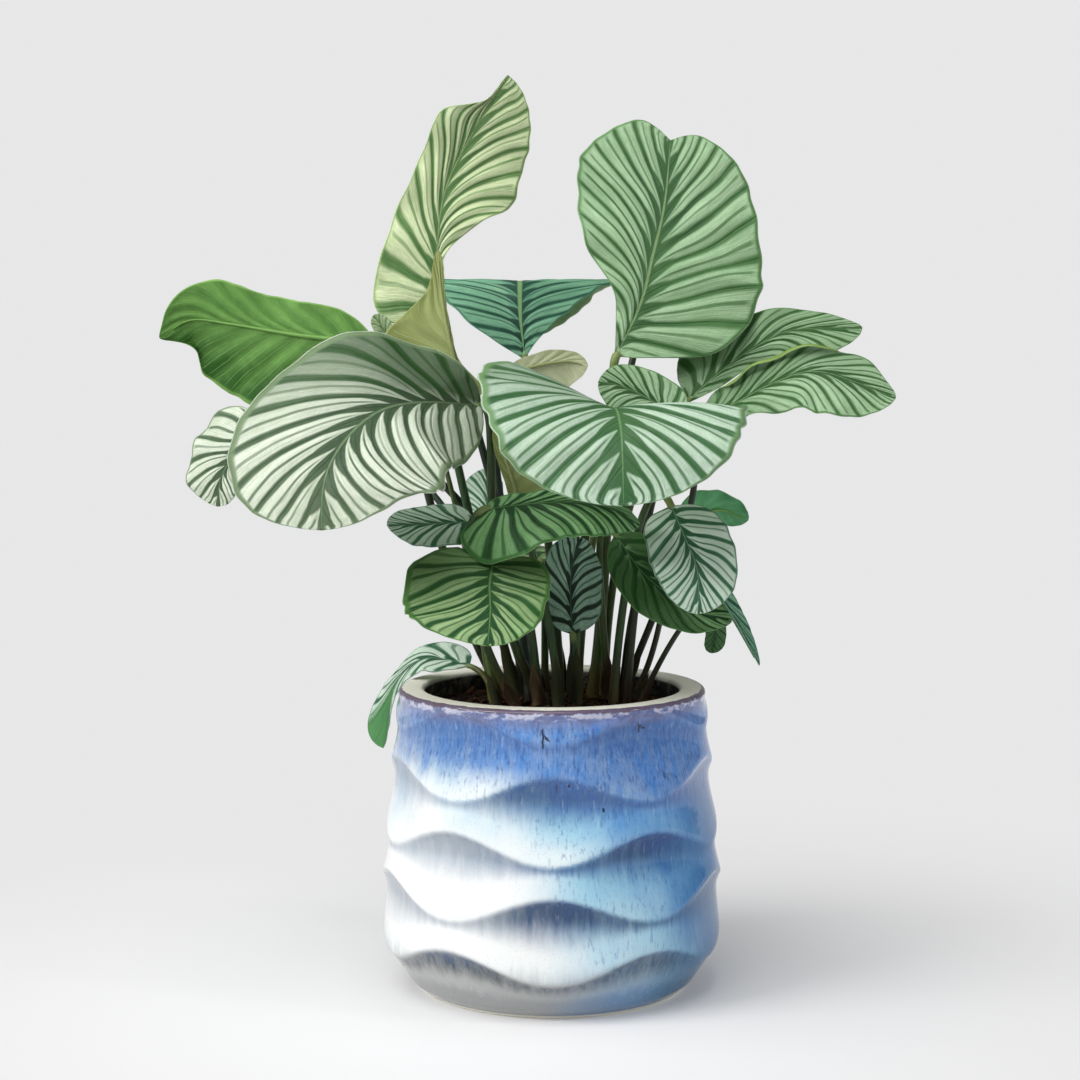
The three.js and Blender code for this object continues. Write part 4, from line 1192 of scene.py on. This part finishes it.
def pot_profile(top):
    """The wall's section: from under the foot, up the outside, over the rim and down to the floor inside."""
    profile = [(0, 0), (FOOT_RADIUS * 0.5, 0)]
    profile += [(FOOT_RADIUS + out, z) for out, z in FOOT_GROOVE]
    for z in np.linspace(FOOT_ROUNDING * 0.5, top, WALL_ROWS):
        profile.append((float(outline_radius(z)), float(z)))
    profile += quarter((RIM_OUTER_RADIUS - RIM_ROUNDING, top), RIM_ROUNDING, 0)[1:]
    profile += [(radius, POT_HEIGHT) for radius in RIM_TOP_RADII]
    profile += quarter((RIM_INNER_RADIUS + RIM_ROUNDING, top), RIM_ROUNDING, 90)
    for z in np.linspace(top - 2 * RIM_ROUNDING, FLOOR_THICKNESS, INNER_ROWS):
        profile.append((float(inner_radius(z)), float(z)))
    return profile + [(FOOT_RADIUS * 0.6, FLOOR_THICKNESS), (0, FLOOR_THICKNESS)]


def make_pot():
    top = POT_HEIGHT - RIM_ROUNDING
    pot = turned("glazed_pot", pot_profile(top), POT_STEPS)
    points = vertices_of(pot) / MM
    radius = np.hypot(points[:, 0], points[:, 1])
    angle = np.arctan2(points[:, 0], -points[:, 1])
    z = points[:, 2]
    outer = (radius > outline_radius(z) - BODY_WALL / 2) & (z > 1) & (z < top + 0.1)
    depth = relief_depth(angle, z) * outer
    # Near the foot the wall draws in to it, and near the rim the relief leaves the lip round
    foot = (1 - rise(z, 0, FOOT_BLEND)) * outer
    depth = depth * (1 - foot) + (outline_radius(z) - FOOT_RADIUS - FOOT_INSET) * foot
    scale = np.where(radius > 1, (radius - depth) / np.maximum(radius, 1), 1)
    points[:, 0] *= scale
    points[:, 1] *= scale
    shape(pot, points)
    # Where the glaze pools with painted shade under the ridges, and runs thin with painted light on the
    # crests
    _, pool_and_shade, lit_thin_crest = relief(angle, z)
    mark(pot, "pool_and_shade", pool_and_shade * outer)
    mark(pot, "lit_thin_crest", lit_thin_crest * outer)
    over_floor = (radius < RIM_INNER_RADIUS + 1) & (z > FLOOR_THICKNESS - 1)
    mark(pot, "inside", over_floor | (radius < inner_radius(z) + 1) & (z > 5))
    cut_drains(pot)
    smooth(pot)
    pot.data.materials.append(glaze_finish())
    finish_piece(pot, "pot_glaze", "pot")


def cut_drains(pot):
    """Cuts the drain holes through the floor."""
    for i in range(DRAIN_HOLES):
        angle = 2 * math.pi * (i + 0.5) / DRAIN_HOLES
        place = (DRAIN_CIRCLE * MM * math.sin(angle), -DRAIN_CIRCLE * MM * math.cos(angle), 0)
        deselect()
        bpy.ops.mesh.primitive_cylinder_add(vertices=32, radius=DRAIN_RADIUS * MM,
                                            depth=4 * FLOOR_THICKNESS * MM, location=place)
        drill = bpy.context.object
        cut = pot.modifiers.new("drain", "BOOLEAN")
        cut.operation = "DIFFERENCE"
        cut.solver = "EXACT"
        cut.object = drill
        apply_all(pot)
        bpy.data.objects.remove(drill)


# --- Soil ---

def soil_surface(x, y):
    """Height of the soil's crumbly top, in millimetres."""
    radius = math.hypot(x, y)
    base = SOIL_HEIGHT - SOIL_MOUND * (radius / RIM_INNER_RADIUS) ** 3
    return base + sum(noise.noise(Vector((x, y, start)) * scale) * high for scale, start, high in SOIL_LUMPS)


def make_soil():
    shoulder = SOIL_HEIGHT - SOIL_MOUND
    wall = [(float(inner_radius(z)) - SOIL_GAP, float(z)) for z in np.linspace(SOIL_FLOOR, shoulder, 12)]
    edge = wall[-1][0]
    top = [(edge * r, shoulder) for r in np.linspace(0.985, 0.0, SOIL_RINGS)]
    soil = turned("soil_bed", [(0, SOIL_FLOOR), *wall, *top], SOIL_STEPS)
    points = vertices_of(soil) / MM
    for point in points:
        if point[2] > shoulder - 0.01 and math.hypot(point[0], point[1]) < edge - 0.5:
            point[2] = soil_surface(point[0], point[1])
    shape(soil, points)
    smooth(soil)
    soil.data.materials.append(soil_finish("potting_mix", "1a120d", "382619", "54341f"))
    finish_piece(soil, "soil", "soil")


def make_chip(kind, seed):
    """A bark chip or a crumb of unit size, broken out of a block or a ball."""
    deselect()
    if kind == "chip":
        bpy.ops.mesh.primitive_cube_add(size=1)
        bpy.ops.object.mode_set(mode="EDIT")
        bpy.ops.mesh.select_all(action="SELECT")
        bpy.ops.mesh.subdivide(number_cuts=1)
        bpy.ops.object.mode_set(mode="OBJECT")
    else:
        bpy.ops.mesh.primitive_ico_sphere_add(subdivisions=1, radius=0.5)
    piece = bpy.context.object
    points = vertices_of(piece)
    for point in points:
        shift = noise.noise_vector(Vector(point) * 1.7 + Vector((seed, 0, 0)))
        point += np.array(shift) * CHIP_ROUGHNESS
    piece.data.vertices.foreach_set("co", points.ravel())
    return piece


def scatter(name, kinds, count, seed, material, free_of):
    """Copies of a few chips strewn over the soil, clear of the stalks, as one piece."""
    draw = random.Random(seed)
    sources = [make_chip(kind, i * 3.1) for i, kind in enumerate(kinds)]
    meshes = [(vertices_of(source), [list(face.vertices) for face in source.data.polygons])
              for source in sources]
    points, faces = [], []
    made = 0
    while made < count:
        reach = STREWN_RADIUS * math.sqrt(draw.random())
        turn = draw.uniform(0, 2 * math.pi)
        x, y = reach * math.cos(turn), reach * math.sin(turn)
        which = draw.randrange(len(kinds))
        if kinds[which] == "chip":
            size = np.array([draw.uniform(*limits) for limits in CHIP_SIZES])
        else:
            size = np.array((1, 1, 0.8)) * draw.uniform(*CRUMB_SIZES)
        near = min(math.hypot(x - root[0], y - root[1]) - radius for root, radius in free_of)
        if near < STREWN_GAP or math.hypot(x, y) + size[0] / 2 > STREWN_EDGE:
            continue
        spin, tip = draw.uniform(0, 2 * math.pi), draw.uniform(-0.5, 0.5)
        shape_points, shape_faces = meshes[which]
        local = shape_points * size
        tipped = local @ np.array([[math.cos(tip), 0, math.sin(tip)], [0, 1, 0],
                                   [-math.sin(tip), 0, math.cos(tip)]])
        turned_about = tipped @ np.array([[math.cos(spin), math.sin(spin), 0],
                                          [-math.sin(spin), math.cos(spin), 0], [0, 0, 1]])
        start = len(points)
        lift = soil_surface(x, y) + size[2] * STREWN_LIFT
        points.extend((turned_about + (x, y, lift)).tolist())
        faces.extend([[start + i for i in face] for face in shape_faces])
        made += 1
    piece = new_mesh(name, points, [], faces)
    for source in sources:
        bpy.data.objects.remove(source)
    outward(piece)
    piece.data.materials.append(material)
    finish_piece(piece, "soil")


def strew_bark():
    """Bark chips and finer crumbs on the soil, clear of the stalks."""
    noise.seed_set(SHAPE_DRAWS)
    roots = [(leaf["root"], leaf["radius"] * ROOT_ROOM) for leaf in LEAVES]
    bark = soil_finish("bark", "1d140e", "45301f", "64412a")
    scatter("bark_chips", ["chip"] * 4, CHIPS, CHIP_DRAWS, bark, roots)
    scatter("soil_crumbs", ["crumb"] * 3, CRUMBS, CRUMB_DRAWS, bark, roots)


# --- Leaves ---

def rib_points(leaf, share):
    """Points of the midrib at shares of its length, on a smooth curve through its points."""
    curve = smooth_curve(leaf["rib"], np.linspace(0, 1, RIB_POINTS))
    return on_path(curve, np.clip(share, 0, 1) * lengths_along(curve)[-1])


def rib_frame(leaf, x):
    """The midrib's points and axes: forward along it, up out of the blade, and to the right."""
    centre = rib_points(leaf, x)
    forward = unit(rib_points(leaf, x + RIB_STEP) - rib_points(leaf, x - RIB_STEP))
    face = np.stack([even_along([way[axis] for way in leaf["face"]], x) for axis in range(3)], axis=-1)
    up = unit(face - forward * (face * forward).sum(-1, keepdims=True))
    return centre, forward, up, np.cross(forward, up)


def roll_margin(roll, side, x, v, half_width, across, height):
    """Rolls the outer part of one half up and back over the blade."""
    which, from_x, to_x, turn = roll
    share = rise(x, from_x, from_x + 0.15) * (1 - rise(x, to_x - 0.2, to_x)) * (side == which)
    width = (1 - ROLL_START) * half_width
    turned_by = math.radians(turn) * np.clip((v - ROLL_START) / (1 - ROLL_START), 0, 1)
    radius = width / math.radians(turn)
    kept = np.minimum(across, ROLL_START * half_width)
    rolled_across = kept + radius * np.sin(turned_by)
    rolled_height = height + radius * (1 - np.cos(turned_by))
    return across + (rolled_across - across) * share, height + (rolled_height - height) * share


def band_count(leaf):
    """How many bands a half of the blade has."""
    return BANDS.get(leaf["name"], leaf.get("size", SMALL_BLADE)["bands"])


def blade_points(leaf, q, s, seed):
    """The blade's surface: q picks the side vein, s runs from the left margin (-1) to the right one (1)."""
    v = np.abs(s)
    side = np.where(s < 0, -1.0, 1.0)

    def both(left_value, right_value):
        return np.where(side > 0, right_value, left_value)

    sweep = both(*SWEEPS.get(leaf["name"], (VEIN_SWEEP, VEIN_SWEEP)))
    x = 1 - (1 - q) ** (1 + sweep * v ** VEIN_BENDS.get(leaf["name"], VEIN_BEND))
    centre, forward, up, right = rib_frame(leaf, x)

    width = both(smooth_along(leaf["left"], x), smooth_along(leaf["right"], x))
    least = BLADE_BASE_HALF_WIDTH + (BLADE_TIP_HALF_WIDTH - BLADE_BASE_HALF_WIDTH) * x
    half_width = np.maximum(width * rounded(x, BLADE_BASE_ROUNDING, BLADE_TIP_ROUNDING), least)
    bands = band_count(leaf)
    crowded = q * (1 + VEIN_CROWDING - VEIN_CROWDING * q)
    vein_phase = 2 * math.pi * (bands * crowded + HALF_SHIFT * (side < 0))
    half_width = half_width * (1 + MARGIN_SCALLOP * np.cos(vein_phase) * v ** 4)
    widest = max(*leaf["left"], *leaf["right"])
    folds = leaf.get("fold", PLAIN_FOLD)
    curls = leaf.get("curl", PLAIN_CURL)
    fold = np.radians(both(even_along(folds[0], x), even_along(folds[1], x)))
    curl = np.maximum(np.radians(both(even_along(curls[0], x), even_along(curls[1], x))), 1e-4) / widest
    out = half_width * v
    slope = fold - curl * out
    across = (np.sin(fold) - np.sin(slope)) / curl
    wave_height, wave_count, wave_start = leaf.get("wave", FLAT_MARGIN)
    fade = np.sqrt(np.maximum(np.sin(math.pi * x), 0))
    phase = 2 * math.pi * wave_count * x + math.radians(wave_start) + side * WAVE_OFFSET
    height = (np.cos(slope) - np.cos(fold)) / curl + wave_height * v ** 2 * np.sin(phase) * fade
    near_tip = rise(x, 0.5, 0.85) * rounded(x, 0.2, NOTCHES.get(leaf["name"], 0.08))
    near_base = rise(LOBE_END - x, 0, 0.4) * rounded(x, 0.06, 0.2)
    ahead = both(*leaf.get("ahead", (0, 0))) * near_tip
    back = both(*leaf.get("lobe", (0, 0))) * near_base
    # Pleats between the side veins, a ruffled margin and the groove over the midrib
    size = min(widest / FULL_HALF_WIDTH, 1)
    pleat_room = rise(v, 0.02, 0.3) * (1 - 0.5 * rise(v, 0.7, 1)) * fade
    pleat = -PLEAT_HEIGHT * size * np.cos(vein_phase) * pleat_room
    draw = random.Random(seed)
    ruffle = sum(np.sin(2 * math.pi * n * x + draw.uniform(0, 6.28) + side) for n in RUFFLES) / 3
    height = height + pleat + RUFFLE_HEIGHT * size * ruffle * rise(v, 0.6, 1) * fade
    if leaf["name"] in ROLLS:
        across, height = roll_margin(ROLLS[leaf["name"]], side, x, v, half_width, across, height)
    groove = RIB_GROOVE * size * np.exp(-(out / RIB_GROOVE_WIDTH) ** 2)
    height = height - groove * rise(x, 0.0, 0.1) * (1 - x)
    reach = ((ahead - back) * v ** MARGIN_BEND)[:, None]
    return centre + right * (side * across)[:, None] + up * height[:, None] + forward * reach


def paint_blade(blade, leaf, seed):
    """The upper side's finish and the underside's, in that order."""
    name, colour = leaf["name"], leaf["colour"]
    bands = band_count(leaf)
    tones = UPPER_TONES[LOOKS.get(name, SLOT_LOOKS[colour])]
    style = BAND_STYLES.get(name, PLAIN_STYLE)
    upper = upper_finish("upper_" + name, tones, bands, seed, style, PAINTED_SHADES.get(name, ()), PLAIN_ENDS.get(name))
    blade.data.materials.append(upper)
    under = UNDER_LOOKS.get(name, colour if colour in UNDER_TONES else "striped")
    blade.data.materials.append(under_finish("under_" + name, UNDER_TONES[under], bands, seed))


def make_blade(leaf, seed):
    name, size = leaf["name"], leaf.get("size", SMALL_BLADE)
    blade, along, across = new_grid("blade_" + name, size["along"], size["across"])
    shape(blade, blade_points(leaf, along, -across, seed))
    paint_blade(blade, leaf, seed)
    thicken(blade, BLADE_THICKNESS, 0, 1)
    smooth(blade)
    finish_piece(blade, "leaf_" + leaf["colour"], f"leaf_{name}_blade")


def bezier(a, b, c, d, steps):
    """Points of a cubic Bezier curve."""
    t = np.linspace(0, 1, steps)[:, None]
    return (1 - t) ** 3 * a + 3 * (1 - t) ** 2 * t * b + 3 * (1 - t) * t ** 2 * c + t ** 3 * d


def stalk_path(leaf):
    """The stalk's middle line from the soil to the blade's base."""
    centre, forward, _, _ = rib_frame(leaf, np.array([0.0]))
    end = centre[0]
    ground = np.array([*leaf["root"], SOIL_HEIGHT + STALK_COLLAR], float)
    leaving = ground + leaf["rise"]
    arriving = end - forward[0] * leaf["reach"]
    return bezier(ground, leaving, arriving, end, STALK_POINTS)


def tube(name, path, radii):
    """A round rod along a path, in millimetres, with a radius at each point."""
    deselect()
    bpy.ops.curve.primitive_bezier_curve_add()
    curve = bpy.context.object.data
    curve.splines.clear()
    line = curve.splines.new("POLY")
    line.points.add(len(path) - 1)
    for point, place, radius in zip(line.points, path, radii):
        point.co = (*(np.asarray(place) * MM), 1)
        point.radius = radius
    curve.bevel_depth = MM
    curve.bevel_resolution = ROD_ROUNDNESS
    curve.use_fill_caps = True
    curve.twist_mode = "MINIMUM"
    bpy.ops.object.convert(target="MESH")
    return active_piece(name)


def make_stalk(leaf, skin, ribs):
    """The stalk, with its joint below the blade, running on as the rib under the blade."""
    up_to_blade = stalk_path(leaf)
    foot = np.array([[*leaf["root"], SOIL_HEIGHT - STALK_DEPTH + 1]], float)
    x = np.linspace(*UNDER_RIB)
    centre, _, up, _ = rib_frame(leaf, x)
    end_radius = leaf["radius"] * STALK_TAPER
    rib_radius = end_radius * (1 - x) ** 0.9 * 0.6 + RIB_LEAST_RADIUS
    drop = (rib_radius + BLADE_THICKNESS / 2 + RIB_GROOVE * (1 - x) * 0.7) * rise(x, -0.02, 0.07)
    along_rib = centre - up * drop[:, None]
    share = np.linspace(0, 1, len(up_to_blade))
    joint_start = 1 - min(JOINT_LENGTH / lengths_along(up_to_blade)[-1], 0.4)
    joint = rise(share, joint_start, joint_start + (1 - joint_start) * 0.35)
    radii = leaf["radius"] * (1 + (STALK_TAPER - 1) * share) * (1 + JOINT_SWELL * joint)
    radii = radii * (1 + STALK_FLARE * (1 - rise(share, 0, 0.12)))
    path = np.vstack([foot, up_to_blade, along_rib])
    radii = np.concatenate([[radii[0]], radii, rib_radius])
    stalk = tube("stalk_" + leaf["name"], path, radii)
    marks = np.concatenate([[0], share, 1.05 + x])
    points = vertices_of(stalk) / MM
    nearest = np.argmin(((points[:, None, :] - path[None, :, :]) ** 2).sum(-1), axis=1)
    mark(stalk, "along", marks[nearest])
    smooth(stalk)
    stalk.data.materials.append(skin)
    stalk.data.materials.append(ribs.get(leaf["colour"], ribs["striped"]))
    for face in stalk.data.polygons:
        face.material_index = int(marks[nearest[face.vertices[0]]] > 1)
    finish_piece(stalk, "stalk", f"leaf_{leaf['name']}_stalk")


def make_sheath(leaf, tall, turn, is_dry, papery, dry):
    """A thin sheath that clasps the stalk's foot, open on one side and drawn out to a point."""
    sheath, up, round_it = new_grid("sheath_" + leaf["name"], *SHEATH_GRID)
    centre = on_path(stalk_path(leaf), tall * up * (1 - SHEATH_POINT * np.abs(round_it) ** 0.9))
    centre[:, 2] -= SHEATH_DEPTH * (1 - up)
    angle = math.radians(turn) + round_it * math.radians(SHEATH_WRAP)
    flare = SHEATH_FLARE * (2 if is_dry else 1) * up ** 3
    radius = leaf["radius"] * SHEATH_ROOM + SHEATH_GAP + flare
    outwards = np.stack([np.cos(angle), np.sin(angle), 0 * angle], axis=-1)
    shape(sheath, centre + outwards * radius[:, None])
    thicken(sheath, SHEATH_THICKNESS, -1, 0)
    outward(sheath)
    smooth(sheath)
    sheath.data.materials.append(dry if is_dry else papery)
    finish_piece(sheath, "stalk", f"leaf_{leaf['name']}_stalk")


def make_leaves():
    skins = [stalk_finish(*tones) for tones in SKINS]
    ribs = {slot: rib_finish(*tones) for slot, tones in RIBS.items()}
    papery = sheath_finish(*PAPERY_SHEATH)
    dry = sheath_finish(*DRY_SHEATH)
    for index, leaf in enumerate(LEAVES):
        make_blade(leaf, index + 1)
        make_stalk(leaf, skins[STALK_SKINS.get(leaf["name"], index % len(skins))], ribs)
        if leaf["name"] in SHEATHS:
            make_sheath(leaf, *SHEATHS[leaf["name"]], papery, dry)


# --- Stage ---

def make_stage():
    deselect()
    bpy.ops.mesh.primitive_circle_add(vertices=96, radius=FLOOR_RADIUS, fill_type="NGON",
                                      location=(0, 0, -FLOOR_DROP))
    floor = active_piece("studio_floor")
    floor.data.materials.append(floor_finish())


def soft_light(name, place, aim, size, tall, power, tint):
    lamp = bpy.data.lights.new(name, "AREA")
    lamp.shape = "RECTANGLE" if tall else "DISK"
    lamp.size = size
    if tall:
        lamp.size_y = tall
    lamp.energy = power
    lamp.color = tint
    stand = bpy.data.objects.new(name, lamp)
    stand.location = place
    stand.rotation_euler = (Vector((0, 0, aim)) - Vector(place)).to_track_quat("-Z", "Y").to_euler()
    bpy.context.scene.collection.objects.link(stand)


def make_world():
    """Pale to the camera, and dimmer as a light, so that the lamps shape the leaves and the relief."""
    world = bpy.data.worlds.new("studio")
    bpy.context.scene.world = world
    world.use_nodes = True
    nodes, links = world.node_tree.nodes, world.node_tree.links
    nodes["Background"].inputs["Color"].default_value = BACKGROUND
    dim = nodes.new("ShaderNodeBackground")
    dim.inputs["Color"].default_value = BACKGROUND
    dim.inputs["Strength"].default_value = AMBIENT
    seen = nodes.new("ShaderNodeLightPath")
    choose = nodes.new("ShaderNodeMixShader")
    links.new(seen.outputs["Is Camera Ray"], choose.inputs[0])
    links.new(dim.outputs[0], choose.inputs[1])
    links.new(nodes["Background"].outputs[0], choose.inputs[2])
    links.new(choose.outputs[0], nodes["World Output"].inputs["Surface"])


def make_light():
    make_world()
    for name, lamp in LAMPS.items():
        soft_light(name, *lamp)
    bpy.context.scene.view_settings.view_transform = "Standard"


def make_camera():
    lens = bpy.data.cameras.new("camera")
    lens.lens = LENS
    lens.sensor_width = SENSOR_WIDTH
    view = bpy.data.objects.new("camera", lens)
    view.location = CAMERA_PLACE
    view.rotation_euler = (math.radians(90 - CAMERA_TILT), 0, 0)
    bpy.context.scene.collection.objects.link(view)
    bpy.context.scene.camera = view


make_camera()
make_light()
make_stage()
make_pot()
make_soil()
strew_bark()
make_leaves()
